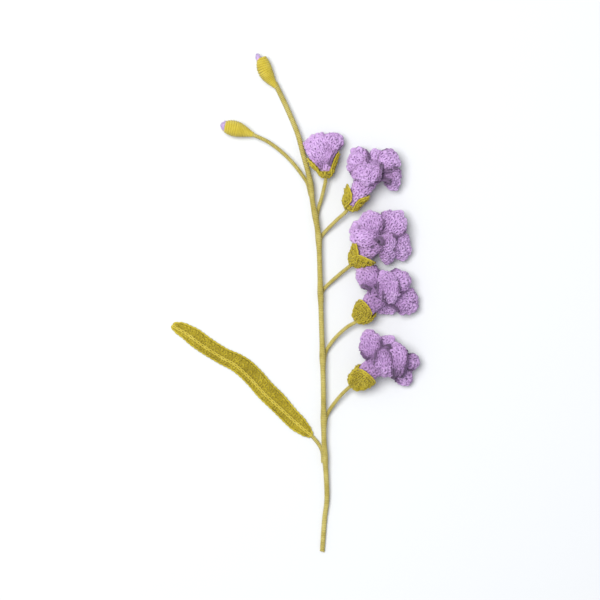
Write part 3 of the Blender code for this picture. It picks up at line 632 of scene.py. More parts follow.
def chain_tree():
    """Chain loops along a line."""
    tree, given = new_tree("chain_edge", (
        ("Pitch", "Float"), ("Width", "Float"), ("Yarn Radius", "Float"),
        ("Material", "Material")))
    link = strands(tree, LINK_STRANDS, given["Yarn Radius"])
    line = add(tree, "GeometryNodeMeshToCurve", {"Mesh": given["Geometry"]}).outputs[0]
    even = add(tree, "GeometryNodeResampleCurve", {"Curve": line, "Length": given["Pitch"]},
               mode="LENGTH").outputs[0]
    tangent = add(tree, "GeometryNodeInputTangent").outputs[0]
    turned = add(tree, "FunctionNodeAxesToRotation",
                 {"Primary Axis": tangent,
                  "Secondary Axis": read(tree, "facing", "FLOAT_VECTOR")},
                 primary_axis="X", secondary_axis="Z").outputs["Rotation"]
    stretch = calc(tree, "DIVIDE", given["Pitch"], LINK_LENGTH * MM)
    size = xyz(tree, stretch, given["Width"], given["Width"])
    laid = add(tree, "GeometryNodeInstanceOnPoints",
               {"Points": even, "Instance": link, "Rotation": turned,
                "Scale": size}).outputs["Instances"]
    return close_tree(tree, laid, given["Material"])


def winding_tree():
    """A thread wound round a line, over a plain core."""
    tree, given = new_tree("wound_thread", (
        ("Pitch", "Float"), ("Yarn Radius", "Float"), ("Material", "Material")))
    pitch = given["Pitch"]
    line = add(tree, "GeometryNodeMeshToCurve", {"Mesh": given["Geometry"]}).outputs[0]
    fine = add(tree, "GeometryNodeResampleCurve",
               {"Curve": line, "Length": calc(tree, "DIVIDE", pitch, float(TURN_STEPS))},
               mode="LENGTH").outputs[0]
    girth = read(tree, "girth")
    length = add(tree, "GeometryNodeSplineParameter").outputs["Length"]
    angle = calc(tree, "MULTIPLY", calc(tree, "DIVIDE", length, pitch), 2 * math.pi)
    tangent = add(tree, "GeometryNodeInputTangent").outputs[0]
    turn = add(tree, "FunctionNodeAxisAngleToRotation",
               {"Axis": tangent, "Angle": angle}).outputs["Rotation"]
    normal = add(tree, "GeometryNodeInputNormal").outputs[0]
    outward = add(tree, "FunctionNodeRotateVector",
                  {"Vector": normal, "Rotation": turn}).outputs["Vector"]
    helix = add(tree, "GeometryNodeSetPosition",
                {"Geometry": fine, "Offset": reckon(tree, "SCALE", outward, girth)}).outputs[0]
    thread = yarn_mesh(tree, helix, given["Yarn Radius"])

    ring = add(tree, "GeometryNodeCurvePrimitiveCircle",
               {"Resolution": CORE_SIDES, "Radius": 1.0}).outputs["Curve"]
    core = add(tree, "GeometryNodeCurveToMesh",
               {"Curve": line, "Profile Curve": ring, "Scale": girth,
                "Fill Caps": True}).outputs["Mesh"]
    both = add(tree, "GeometryNodeJoinGeometry")
    for part in (thread, core):
        tree.links.new(part, both.inputs["Geometry"])
    return close_tree(tree, both.outputs["Geometry"], given["Material"])


CHAIN_EDGE = chain_tree()
WOUND_THREAD = winding_tree()
print("chain tree", len(CHAIN_EDGE.nodes), "winding tree", len(WOUND_THREAD.nodes))

# %% [markdown]
# ## The main stem and the stalks
# The stem is one long wire under a thread of olive yarn. The solids give its line as a list of
# places, so the same places are smoothed here and the thread is wound along them. Each stalk
# starts just under the main stem, and the winding swells there, as it would if a few more turns
# bound the two together.

# %% Smooth lines
MAIN_STEM = (
    (15.9, -152.4, 1.5), (17.3, -132.7, 2.0), (18.7, -121.0, 2.9), (18.4, -108.0, 4.2),
    (17.0, -85.9, 5.6), (16.7, -68.3, 6.3), (16.4, -44.9, 6.5), (15.5, -16.4, 6.5),
    (14.7, 9.1, 6.5), (13.5, 40.8, 6.5), (10.0, 61.8, 6.5), (8.1, 76.2, 6.5),
    (4.0, 92.0, 6.5), (0.4, 104.9, 6.3), (-6.0, 120.1, 5.8), (-13.0, 134.8, 4.9),
)
BUD_2_STALK = ((8.6, 66.0, 3.4), (6.9, 73.3, 3.5), (4.1, 77.8, 4.2), (-1.9, 85.6, 5.6),
               (-8.9, 92.6, 5.9), (-17.7, 99.1, 5.8), (-26.5, 103.2, 5.7))
BUD_2_TOP = (-44.1, 108.4, 5.7)
LEAF_STALK = ((16.3, -98.0, 1.9), (16.0, -91.5, 1.9), (13.5, -86.2, 1.7), (9.2, -81.2, 1.5))


def smooth_path(places, spacing):
    """Points every spacing or so along a smooth line through the places."""
    knots = [Vector(place) for place in places]
    ends = [knots[0] * 2 - knots[1], *knots, knots[-1] * 2 - knots[-2]]
    path = []
    for before, start, end, after in zip(ends, ends[1:], ends[2:], ends[3:]):
        steps = max(1, round((end - start).length / spacing))
        for step in range(steps):
            t = step / steps
            path.append(
                0.5 * (2 * start + (end - before) * t
                       + (2 * before - 5 * start + 4 * end - after) * t ** 2
                       + (3 * start - before - 3 * end + after) * t ** 3)
            )
    return path + [knots[-1]]


print("main stem", round(line_length(smooth_path(MAIN_STEM, 3))), "mm")

# %% The wound thread
THREAD_RADIUS = 0.5
THREAD_PITCH = 1.05
STEM_GIRTH = 1.25
STEM_END_GIRTH = 1.1
STEM_TAPER = 60.0
STALK_GIRTH = 0.8
PATH_SPACING = 2.0
# How far up the stem each stalk and the leaf are bound to it, and how much that thickens it.
BINDINGS = (-93.0, -71.0, -33.0, 6.0, 40.0, 53.0, 71.0)
BINDING_REACH = 5.0
BINDING_SWELL = 0.4


def wound(name, path, girths, material=WOUND, node=None, pitch=THREAD_PITCH,
          thread=THREAD_RADIUS):
    """A line wound with thread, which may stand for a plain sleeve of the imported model."""
    item = new_object(name, line_mesh(name, path, girth=[girth * MM for girth in girths]))
    run_tree(item, WOUND_THREAD, pitch=pitch * MM, yarn_radius=thread * MM, material=material)
    if node:
        hand_over(item, "wound_olive_yarn", node)
    return item


def hand_over(item, slot, *nodes):
    """Gives a finished piece to the frame, in place of its plain solids."""
    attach(item, "root")
    if nodes:
        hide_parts(*nodes)
    triangles = sum(len(face.vertices) - 2 for face in item.data.polygons)
    print(f"{item.name}: {triangles} triangles")


def wound_stalk(name, places):
    """A stalk of even thickness, wound with thread."""
    path = smooth_path(places, PATH_SPACING)
    wound(name + "_winding", path, [STALK_GIRTH] * len(path), node=name + "_wrap")


stem_path = smooth_path(MAIN_STEM, PATH_SPACING)


def stem_girth(y):
    """The radius under the stem's thread, which grows from the foot and at each binding."""
    grown = STEM_END_GIRTH + (STEM_GIRTH - STEM_END_GIRTH) * min(
        1.0, (y - stem_path[0].y) / STEM_TAPER)
    bound = sum(math.exp(-((y - place) / BINDING_REACH) ** 2) for place in BINDINGS)
    return grown + BINDING_SWELL * bound


stem_girths = [stem_girth(p.y) for p in stem_path]
wound("main_stem_winding", stem_path, stem_girths, node="main_stem_wrap")
wound_stalk("bud_2_stalk", BUD_2_STALK)
wound_stalk("leaf_stalk", LEAF_STALK)

# %% [markdown]
# ## The flowers
# Each flower is worked in the round: a narrow tube that widens, then six petals that leave it
# and roll back. A petal's middle line is a curve through its root, its middle and its tip, its
# width swells from the root, its edges bend away from the face, and a slow wave ruffles it.
# The table starts from the numbers of the solids. In flowers 1, 2, 3 and 5 some petals are
# moved by up to 3.5 mm or changed in width, to follow creases that the solids leave out.

# %% The table of flowers
# A stalk is a list of places. The heading and the rise turn the tube, and size scales its
# mouth. The crease shade says how strongly painted shade darkens the petals' creases. A sepal
# is (place round the tube in degrees, length, width, opening). A petal is (places of its root,
# middle and tip, the way its face turns, width, bulge of its edges, waves).
FLOWERS = (
    {
        "stalk": ((12.9, 45.5, 3.4), (12.5, 51.3, 3.4), (13.6, 58.3, 4.0), (15.4, 64.2, 5.4),
                  (16.9, 70.3, 6.8), (17.9, 77.6, 8.0)),
        "heading": 91.0, "rise": 13.0, "tube": 14.6, "size": 0.52, "crease_shade": 0.5,
        "sepals": ((178.0, 11.5, 6.5, 38.0), (2.0, 13.5, 6.5, 20.0)),
        "petals": (
            ((17.5, 88.5, 11.5), (11, 94, 13), (6.5, 97, 11.5), (-0.4, -0.1, 0.9), 7.5, -1.6, 0.3),
            ((17.5, 90.5, 10), (12, 98, 11), (9.5, 102, 10), (-0.2, 0.4, 0.85), 12.0, -2.0, 0.4),
            ((18, 91.5, 8), (17.5, 96, 9), (18, 99.5, 7), (0.0, 0.4, 0.9), 11.0, -2.0, 0.7),
            ((19, 91.5, 9), (23.5, 98, 12), (28.5, 100.5, 10), (0.4, 0.2, 0.85), 7.5, -2.2, 0.3),
            ((18, 85, 12.5), (13.5, 93, 16), (8, 99.5, 14), (-0.2, -0.1, 0.95), 12.0, -2.4, 0.4),
            ((18, 86, 12.5), (19.5, 95, 15.5), (25.5, 101, 13), (0.2, 0.1, 0.95), 9.5, -2.6, 0.3),
        ),
    },
    {
        "stalk": ((14.6, 34.0, 3.4), (15.3, 40.8, 3.4), (22.9, 49.2, 6.6), (31.6, 57.9, 9.0)),
        "heading": 57.0, "rise": 18.0, "tube": 27.5, "size": 0.92, "crease_shade": 1.0,
        "sepals": ((155.0, 12.0, 9.5, 24.0), (8.0, 12.0, 9.5, 16.0)),
        "petals": (
            ((40.5, 80.5, 18), (37.5, 83.5, 20), (32, 90, 16), (-0.3, 0.0, 0.95), 12.0, -3.4, 0.5),
            ((41, 81, 13.5), (39, 89.5, 15.5), (35, 94.5, 11), (-0.2, 0.4, 0.88), 8.5, -2.6, 0.7),
            ((46, 79.5, 12), (48.5, 87.5, 12.5), (49, 93.5, 9), (0.0, 0.5, 0.85), 10.0, -2.4, 0.8),
            ((48.5, 79, 13.5), (55, 86.5, 19.5), (63, 84, 14), (0.1, 0.1, 0.97), 12.5, -3.4, 0.6),
            ((49, 75, 17.5), (58.5, 77.5, 17), (61.5, 69.5, 8), (0.4, -0.1, 0.9), 9.5, -3.0, 0.4),
            ((48, 85, 17), (43, 79.5, 27.5), (42.5, 71.5, 25), (-0.1, -0.3, 0.95), 15.0, -3.6, 0.5),
        ),
    },
    {
        "stalk": ((15.7, 1.0, 3.4), (16.1, 7.7, 3.4), (25.2, 16.6, 5.6), (34.4, 24.3, 8.0)),
        "heading": 43.0, "rise": 27.0, "tube": 25.0, "size": 0.9, "crease_shade": 1.0,
        "sepals": ((150.0, 12.5, 11.5, 26.0), (48.0, 13.5, 12.0, 28.0)),
        "petals": (
            ((51, 41.5, 18.5), (42, 40, 24), (33, 37, 16), (-0.3, -0.3, 0.9), 12.5, -4.0, 0.5),
            ((46, 42, 18.5), (40, 43.5, 18), (33, 46.5, 13), (-0.5, 0.2, 0.85), 12.0, -3.6, 0.5),
            ((47.5, 42, 16), (45.5, 47.5, 24), (41.5, 57, 16), (-0.1, 0.2, 0.95), 14.5, -5.0, 0.5),
            ((51.5, 39.5, 14), (58, 48, 21), (64.5, 56.5, 13), (0.2, 0.3, 0.9), 15.5, -4.5, 0.6),
            ((53, 36, 16), (62.5, 37, 17), (68, 26.5, 8), (0.4, -0.1, 0.9), 12.0, -4.0, 0.6),
            ((50, 37.5, 17), (56, 38.5, 26.5), (57, 23.5, 10), (0.2, 0.1, 0.97), 8.0, -3.2, 0.3),
        ),
    },
    {
        "stalk": ((16.9, -38.0, 3.4), (17.5, -32.0, 3.5), (19.3, -27.3, 4.2), (24.1, -20.9, 5.8),
                  (31.0, -14.6, 7.4), (37.2, -10.2, 8.4)),
        "heading": 49.0, "rise": 20.0, "tube": 25.0, "size": 0.92, "crease_shade": 1.0,
        "sepals": ((108.0, 13.0, 11.0, 22.0), (335.0, 8.5, 9.0, 18.0)),
        "petals": (
            ((47.5, 9, 17), (44.5, 15.5, 18), (36, 19.5, 12), (-0.3, 0.2, 0.9), 13.0, -4.5, 0.5),
            ((55.5, 4, 14), (56, -0.5, 11), (58.5, -6, 7), (0.1, -0.5, 0.85), 17.0, -2.6, 0.8),
            ((53.5, 6.5, 11.5), (62.5, 13.5, 18), (70, 16.5, 12), (0.3, 0.2, 0.9), 13.5, -4.2, 0.6),
            ((55.5, 3.5, 14), (65.5, 2.5, 15), (74, -4, 8), (0.4, -0.1, 0.9), 14.0, -4.2, 0.6),
            ((55, 14, 17), (55.5, 7.5, 26), (56, -1, 20), (-0.1, -0.2, 0.97), 11.5, -3.8, 0.5),
            ((55, 2.5, 17.5), (57, 8.5, 26), (52.5, 19.5, 21), (0.1, -0.1, 0.98), 9.5, -3.6, 0.5),
        ),
    },
    {
        "stalk": ((17.4, -76.0, 3.4), (18.4, -69.5, 3.6), (21.9, -63.1, 5.2), (27.5, -56.0, 7.2),
                  (34.0, -50.0, 8.6)),
        "heading": 40.0, "rise": 20.0, "tube": 25.0, "size": 0.92, "crease_shade": 1.0,
        "sepals": ((70.0, 14.5, 13.0, 20.0), (195.0, 10.0, 8.0, 12.0)),
        "petals": (
            ((47, -32.5, 17.5), (45, -27, 20), (41.5, -16.5, 15), (-0.3, 0.1, 0.95), 12.0, -4.2,
             0.5),
            ((49, -32.5, 13.5), (53, -27.5, 16), (57, -20, 12), (0.0, 0.4, 0.9), 12.0, -3.0, 1.2),
            ((61.5, -44.5, 14), (62.5, -34, 25), (60.5, -23, 18), (0.1, 0.0, 0.98), 8.5, -3.8, 0.5),
            ((54, -38, 13), (68, -35.5, 15), (75.5, -36.5, 9), (0.4, 0.1, 0.9), 8.0, -3.0, 0.5),
            ((54, -40, 15.5), (63, -41.5, 13), (68.5, -50, 7), (0.3, -0.3, 0.9), 9.5, -3.0, 0.6),
            ((53.5, -26, 17), (53, -35.5, 25), (53.5, -46, 17), (-0.1, -0.1, 0.97), 10.0, -4.0,
             0.6),
        ),
    },
)
print("flowers", len(FLOWERS), "petals", sum(len(flower["petals"]) for flower in FLOWERS))

# %% The shape of a tube and of a petal
PETAL_THICKNESS = 1.8
SEPAL_THICKNESS = 1.5
PETAL_ROOT_SHARE = 0.6
SWELL_SPEED = 1.6
PETAL_WAVE_COUNT = 2.6
PETAL_TIP_CURL = 0.6
PUCKER = 0.9
PUCKER_WAVES = ((0.95, 0.6, 0.0), (0.0, 0.95, -0.7))
PUCKER_SHIFT = 1.0
FLOOR_SOFTNESS = 1.2
TUBE_WALL = 1.5
TUBE_BASE_RADIUS = 1.9
TUBE_MOUTH_RADIUS = 7.2
TUBE_BEND = 0.7
TUBE_FOOT = 1.6


def above_floor(place, thickness=PETAL_THICKNESS):
    """Bends a place up where it would go below the table, by half a thickness over it."""
    lowest = thickness / 2
    lifted = 0.5 * (place.z + lowest + math.hypot(place.z - lowest, FLOOR_SOFTNESS))
    return Vector((place.x, place.y, lifted))


def pucker(place):
    """The uneven pull of the yarn, which puckers a petal into small hills."""
    first, second = (place.dot(Vector(wave)) for wave in PUCKER_WAVES)
    return math.sin(first) * math.sin(second + PUCKER_SHIFT)


def tube_radius(height, flower):
    """The outer radius of a flower's tube at a height above its base."""
    share = min(1.0, max(0.0, height / flower["tube"]))
    growth = TUBE_MOUTH_RADIUS * flower["size"] - TUBE_BASE_RADIUS
    return TUBE_BASE_RADIUS + growth * share ** TUBE_BEND


def flower_axes(flower):
    """The base of a flower, and its directions along, right and up."""
    heading = math.radians(flower["heading"])
    rise = math.radians(flower["rise"])
    along = Vector((math.cos(heading) * math.cos(rise), math.sin(heading) * math.cos(rise),
                    math.sin(rise)))
    right = along.cross(Vector((0, 0, 1))).normalized()
    return Vector(flower["stalk"][-1]), along, right, right.cross(along)


def round_place(base, along, right, up, radius_at, low, high, sink=0.0):
    """The sheet of a shape turned round an axis, with its seam underneath."""
    def place(s, v):
        height = low + (high - low) * s
        angle = math.pi * (0.5 - v)
        outward = right * math.cos(angle) + up * math.sin(angle)
        return base + along * height + outward * (radius_at(height) - sink)

    return place


def blade(s, v, width, root_share, tip_share):
    """The outline of a petal or sepal: the place across it, how much the round tip shortens
    it there, and half its width."""
    u = math.sin(0.5 * math.pi * v)
    shorter = 1.0 - tip_share * s * (1.0 - math.cos(0.5 * math.pi * v))
    swell = math.sin(0.5 * math.pi * min(1.0, SWELL_SPEED * s))
    return u, shorter, 0.5 * width * (root_share + (1 - root_share) * swell)


def petal_place(petal):
    """The function that bends a petal: from its root over its middle to its round tip."""
    root, middle, tip, facing, width, bulge, waves = petal
    root, middle, tip, facing = (Vector(part) for part in (root, middle, tip, facing))
    facing.normalize()
    knot = middle * 2 - (root + tip) / 2
    side = (tip - middle).cross(facing).normalized()
    tip_share = 0.5 * width / ((middle - root).length + (tip - middle).length)
    phase = tip.x + tip.y

    def place(s, v):
        u, shorter, half = blade(s, v, width, PETAL_ROOT_SHARE, tip_share)
        t = s * shorter
        r = 1.0 - t
        spine = root * r * r + knot * 2 * r * t + tip * t * t
        ahead = ((knot - root) * r + (tip - knot) * t).normalized()
        across = (side - ahead * side.dot(ahead)).normalized()
        normal = across.cross(ahead)
        ripple = waves * s * s * math.sin(PETAL_WAVE_COUNT * math.pi * u + phase)
        flat = spine + across * half * u
        bend = bulge * (u * u * s * s + PETAL_TIP_CURL * s ** 4)
        return above_floor(flat + normal * (bend + ripple + PUCKER * s * pucker(flat)))

    return place


print("tube mouths", [round(2 * tube_radius(flower["tube"], flower), 1) for flower in FLOWERS])

# %% [markdown]
# ## Working a sheet
# A worked piece has three layers: a thin backing that closes the gaps between the stitches,
# in a darker yarn as painted shade there, the stitches themselves, and for petals, sepals and
# the leaf a chain round the edge.

# %% Working stitches over any sheet
LILAC_RADIUS = 0.8
RELIEF = 0.9
JITTER = 0.35
BACKING = 0.5
SHEET_ROWS, SHEET_COLUMNS = 18, 20


def edge_line(points):
    """The outer edge of a sheet from root to root, the way it faces, and its places on it."""
    rows, columns = len(points) - 1, len(points[0]) - 1
    rim = ([(row, 0) for row in range(rows)] + [(rows, column) for column in range(columns)]
           + [(row, columns) for row in range(rows, -1, -1)])
    line, facings, spots = [], [], []
    for row, column in rim:
        up = points[min(row + 1, rows)][column] - points[max(row - 1, 0)][column]
        over = points[row][min(column + 1, columns)] - points[row][max(column - 1, 0)]
        line.append(points[row][column])
        facings.append(over.cross(up).normalized())
        spots.append((column / columns, row / rows))
    return line, facings, spots


def chain(name, line, facings, material, pitch=LINK_LENGTH, width=1.0, radius=LILAC_RADIUS,
          **marks):
    """A chain of loops along a line."""
    item = new_object(name, line_mesh(name, line, facing=facings, **marks))
    return run_tree(item, CHAIN_EDGE, pitch=pitch * MM, width=width, yarn_radius=radius * MM,
                    material=material)


def stitched(name, points, rows, columns, radius, relief, shades, seed, material):
    """Rows of stitches on a sheet, as one mesh."""
    side, root, end = shades
    return run_tree(new_object(name, sheet_mesh(name, points)), WORKED_STITCHES, rows=rows,
                    columns=columns, yarn_radius=radius * MM, relief=relief, jitter=JITTER,
                    side_shade=side, root_shade=root, end_shade=end, seed=seed,
                    material=material)


def worked(name, place, material, backing, width=STITCH_WIDTH, height=STITCH_HEIGHT,
           radius=LILAC_RADIUS, relief=RELIEF, edge=True, shades=(0.0, 0.0, 0.0),
           trim=(0, 0, 0), seed=1):
    """A sheet of crochet as one object: stitches, chain edge and a backing, which may stop
    short of the sheet's root, of its far end and of its sides by some steps of the grid."""
    points = sheet_points(place, SHEET_ROWS, SHEET_COLUMNS)
    near, far, sides = trim
    inner = [row[sides:SHEET_COLUMNS + 1 - sides] for row in points[near:SHEET_ROWS + 1 - far]]
    widest = max(line_length(row) for row in points)
    long = line_length([row[SHEET_COLUMNS // 2] for row in points])
    made = [stitched(name, points, max(1, round(long / height)),
                     max(2, round(widest / width)), radius, relief, shades, seed, material),
            backing_sheet(name + "_backing", inner, BACKING, backing)]
    if edge:
        line, facings, spots = edge_line(points)
        # Painted shade along the chain edge, towards the sides and the root, as on the stitches.
        hollows = [shades[0] * abs(2 * x - 1) ** SIDE_FALL + shades[1] * (1 - y) ** END_FALL
                   for x, y in spots]
        made.append(chain(name + "_edge", line, facings, material, radius=radius,
                          hollow=hollows))
    return made


print("petal stitches are", STITCH_WIDTH, "by", STITCH_HEIGHT, "mm")

# %% [markdown]
# ## The corollas
# A fold in a petal is dark because little light gets into it. The stitches are too coarse to
# make every fold deep enough, so painted shade darkens a sheet towards its sides, its root and
# its far end, and narrow petals, which stand up as ridges between the folds, get the most of it.
# The lowest two flowers get a darker copy of the lilac yarn, which is painted shade too. The
# backing stops short of a petal's rim, where it would show as a flat sliver.

# %% The corollas
# The lowest two flowers get a darker copy of the lilac yarn, painted shade.
FLOWERS_PAINTED_DARKER = (4, 5)
# How much painted shade a sheet gets at its sides, at its root and at its far end.
TUBE_SHADES = (0.0, 0.6, 1.8)
PETAL_SHADES = (2.0, 2.0, 0.0)
RIDGE_SHADES = (3.5, 2.5, 0.0)
# A petal that is narrower than this is a ridge.
RIDGE_WIDTH = 10.5
# How many steps of the grid the backing stops short of the root, the far end and the sides.
TUBE_TRIM = (0, 3, 0)
PETAL_TRIM = (3, 1, 3)
TUBE_SEED = 20
PETAL_SEED = 10


def corolla(number, flower):
    """A flower's tube and its six petals, all worked in lilac yarn."""
    name = f"flower_{number}_corolla"
    base, along, right, up = flower_axes(flower)
    tube = round_place(base, along, right, up, lambda h: tube_radius(h, flower), TUBE_FOOT,
                       flower["tube"], sink=TUBE_WALL / 2)
    # A darker copy of the same lilac for the lowest two flowers, painted shade.
    yarn = LILAC_PAINTED_DARKER if number in FLOWERS_PAINTED_DARKER else LILAC
    made = worked(name + "_tube", tube, yarn, LILAC_SHADE_BACKING, edge=False, shades=TUBE_SHADES,
                  trim=TUBE_TRIM, seed=TUBE_SEED + number)
    for index, petal in enumerate(flower["petals"]):
        # Narrow petals get the ridge's painted shade, scaled for each flower by its crease shade.
        shades = RIDGE_SHADES if petal[4] < RIDGE_WIDTH else PETAL_SHADES
        shades = [shade * flower["crease_shade"] for shade in shades]
        made += worked(f"{name}_petal_{index}", petal_place(petal), yarn, LILAC_SHADE_BACKING,
                       shades=shades, trim=PETAL_TRIM, seed=PETAL_SEED * number + index)
    hand_over(join(name + "_crochet", made), "lilac_yarn", name)


for number, flower in enumerate(FLOWERS, start=1):
    corolla(number, flower)

# %% [markdown]
# ## Calyces and stalks
# Under each flower an olive cup holds the tube, with two sepals that spread beside it. They
# are worked in the same way with a finer hook, and the stalk below is wound like the stem.

# %% Calyces and their stalks
CUP_HEIGHT = 3.8
CUP_WALL = 0.9
CUP_CLEARANCE = 0.4
CUP_FOOT_RADIUS = 1.2
CUP_BEND = 0.7
CUP_SEED = 50
SEPAL_ROOT_HEIGHT = 1.7
SEPAL_ROOT_RADIUS = 3.2
SEPAL_ROOT_SHARE = 0.5
SEPAL_TIP_SHARE = 0.34
SEPAL_CLEARANCE = 0.75
SEPAL_LEAST_BEND = 7.0
OLIVE_RADIUS = 0.52
OLIVE_STITCH = 2.5
SEPAL_SEED = 60
STALK_STRAIGHT = 2.5


def sepal_place(flower, sepal):
    """The function that bends a sepal round the tube, clear of it."""
    base, along, right, up = flower_axes(flower)
    turn, length, width, opening = sepal
    slope = math.radians(opening)
    angle = math.radians(turn)
    outward = right * math.cos(angle) + up * math.sin(angle)
    sideways = up * math.cos(angle) - right * math.sin(angle)
    clear = SEPAL_THICKNESS / 2 + SEPAL_CLEARANCE

    def place(s, v):
        u, shorter, half = blade(s, v, width, SEPAL_ROOT_SHARE, SEPAL_TIP_SHARE)
        reach = length * s * shorter
        height = SEPAL_ROOT_HEIGHT + reach * math.cos(slope)
        radius = max(tube_radius(height, flower) + clear,
                     SEPAL_ROOT_RADIUS + reach * math.sin(slope))
        radius -= (half * u) ** 2 / (2 * max(radius, SEPAL_LEAST_BEND))
        spot = base + along * height + outward * radius - sideways * half * u
        return above_floor(spot, SEPAL_THICKNESS)

    return place


def calyx(number, flower):
    """The cup and two sepals of a flower."""
    name = f"flower_{number}_calyx"
    base, along, right, up = flower_axes(flower)
    rim = tube_radius(CUP_HEIGHT, flower) + CUP_CLEARANCE + CUP_WALL / 2

    def cup_radius(height):
        opened = math.sin(0.5 * math.pi * min(1.0, height / CUP_HEIGHT)) ** CUP_BEND
        return CUP_FOOT_RADIUS + (rim - CUP_FOOT_RADIUS) * opened

    fine = {"width": OLIVE_STITCH, "height": OLIVE_STITCH, "radius": OLIVE_RADIUS}
    cup = round_place(base, along, right, up, cup_radius, 0.0, CUP_HEIGHT)
    made = worked(name + "_cup", cup, OLIVE, OLIVE_SHADE_BACKING, edge=False, seed=CUP_SEED + number,
                  **fine)
    for index, sepal in enumerate(flower["sepals"]):
        made += worked(f"{name}_sepal_{index}", sepal_place(flower, sepal), OLIVE, OLIVE_SHADE_BACKING,
                       seed=SEPAL_SEED * number + index, **fine)
    hand_over(join(name + "_crochet", made), "olive_yarn", name)


for number, flower in enumerate(FLOWERS, start=1):
    calyx(number, flower)
    base, along, _, _ = flower_axes(flower)
    places = [*flower["stalk"][:-1], tuple(base - along * STALK_STRAIGHT), tuple(base)]
    wound_stalk(f"flower_{number}_stalk", places)

# %% [markdown]
# ## The buds
# A closed bud is a hollow barrel of lighter yarn on its wire. Its lower half is wound in fine
# turns that run out onto the stalk, its upper half in thicker rings that narrow to the mouth.
# A lilac tip peeps out there, at one side. Both buds are made by one function, and the table
# says where each one bends and how large it and its tip are.

# %% The buds
# Each place on a bud: share of its length from the foot, share of its greatest radius.
BUD_SHAPE = ((0.0, 0.3), (0.1, 0.42), (0.25, 0.64), (0.4, 0.85), (0.55, 0.97), (0.7, 1.0),
             (0.84, 0.92), (0.94, 0.77), (1.0, 0.62))
BUD_HALF = 0.5
BUD_SPACING = 0.4
# Each bud: the places of its middle line, its greatest radius, its tip's radius and reach,
# and how far the tip is shifted from the middle of the mouth.
BUDS = (
    (((-12.2, 132.4, 5.0), (-15.8, 136.8, 4.9), (-19.2, 142.6, 4.9), (-21.1, 150.3, 4.9)),
     4.8, (1.3, 2.2), (-2.2, 0.0, 0.4)),
    ((BUD_2_STALK[-1], (-35.6, 106.4, 5.6), BUD_2_TOP), 5.1, (2.7, 1.8), (0.0, 0.3, 0.0)),
)
# The pitch and the thickness of the thread, in the lower and in the upper half.
BUD_PITCH = (0.95, 1.4)
BUD_THREAD = (0.62, 0.86)
TIP_SINK = 1.2
TIP_LEAST_RADIUS = 0.05
TIP_STITCH_WIDTH, TIP_STITCH_HEIGHT = 1.5, 1.3
TIP_YARN = 0.4
TIP_RELIEF = 0.4
TIP_SEED = 95


def between(table, share):
    """The rows of a table before and after a share, and how far between them it lies."""
    for start, end in zip(table, table[1:]):
        if share <= end[0]:
            return start, end, (share - start[0]) / (end[0] - start[0])
    return table[-1], table[-1], 0.0


def bud_radius(share, widest):
    """The radius of a bud at a share of its length, straight from row to row of its shape."""
    start, end, part = between(BUD_SHAPE, share)
    return widest * (start[1] + (end[1] - start[1]) * part)


def bud(number, places, widest, tip_size, tip_shift):
    """The two wound halves of a bud and the lilac tip in its mouth."""
    path = smooth_path(places, BUD_SPACING)
    middle = round((len(path) - 1) * BUD_HALF)
    top = path[-1]
    along = (top - path[middle]).normalized()
    halves = []
    for half, (pitch, thread) in enumerate(zip(BUD_PITCH, BUD_THREAD)):
        spots = range(middle, len(path)) if half else range(middle + 2)
        girths = [bud_radius(spot / (len(path) - 1), widest) - thread for spot in spots]
        halves.append(wound(f"bud_{number}_half_{half}", [path[spot] for spot in spots],
                            girths, material=BUD_OLIVE, pitch=pitch, thread=thread))
    hand_over(join(f"bud_{number}_winding", halves), "light_olive_yarn", f"bud_{number}_calyx")

    radius, reach = tip_size
    start = top + Vector(tip_shift)
    right = along.cross(Vector((0, 0, 1))).normalized()

    def tip_radius(height):
        share = (height + TIP_SINK) / (reach + TIP_SINK)
        return radius * math.sqrt(max(0.0, 1.0 - share * share)) + TIP_LEAST_RADIUS

    tip = round_place(start, along, right, right.cross(along), tip_radius, -TIP_SINK, reach)
    made = worked(f"bud_{number}_tip", tip, PALE_LILAC, LILAC, width=TIP_STITCH_WIDTH,
                  height=TIP_STITCH_HEIGHT, radius=TIP_YARN, relief=TIP_RELIEF, edge=False,
                  seed=TIP_SEED + number)
    hand_over(join(f"bud_{number}_tip_crochet", made), "lilac_yarn", f"bud_{number}_tip")


for number, shape in enumerate(BUDS, start=1):
    bud(number, *shape)

# %% [markdown]
# ## The leaf
# The leaf starts from a chain that becomes its middle rib. Two rows of tall stitches are worked
# along the upper side of the chain and one row along the lower side, and each outer row ends in
# a chain edge. It lies flat on the table.

# %% The leaf
LEAF_RIB = ((8.1, -80.3), (-0.5, -73.0), (-10.4, -63.9), (-19.9, -55.2), (-27.4, -47.0),
            (-36.8, -38.4), (-46.3, -33.0), (-56.9, -26.4), (-67.0, -19.0), (-74.6, -14.6))
# Each row: share of the way along the rib, and how far the leaf reaches above and below it.
LEAF_REACH = ((0.0, 1.9, 1.9), (0.03, 3.6, 3.4), (0.1, 5.2, 4.6), (0.3, 7.4, 3.9),
              (0.5, 7.7, 3.4), (0.68, 5.9, 3.7), (0.86, 6.2, 3.9), (0.96, 4.8, 3.0),
              (1.0, 2.8, 1.8))
LEAF_HEIGHT = 1.3
LEAF_CROWN = 0.35
LEAF_EDGE_INSET = 0.8
LEAF_GRID_ROWS, LEAF_GRID_COLUMNS = 8, 60
RIB_HEIGHT = 2.6
LEAF_STITCHES = 36
LEAF_YARN = 0.64
LEAF_RELIEF = 0.7
LEAF_BACKING = 1.2
LEAF_LINK = 2.9
LEAF_SEED = 7
# Painted shade on the leaf, towards its rib and towards its edge.
LEAF_SHADES = (0.0, 1.4, 1.3)
RIB_SPACING = 1.0
RIB_WIDTH = 0.7
UPWARDS = Vector((0.0, 0.0, 1.0))


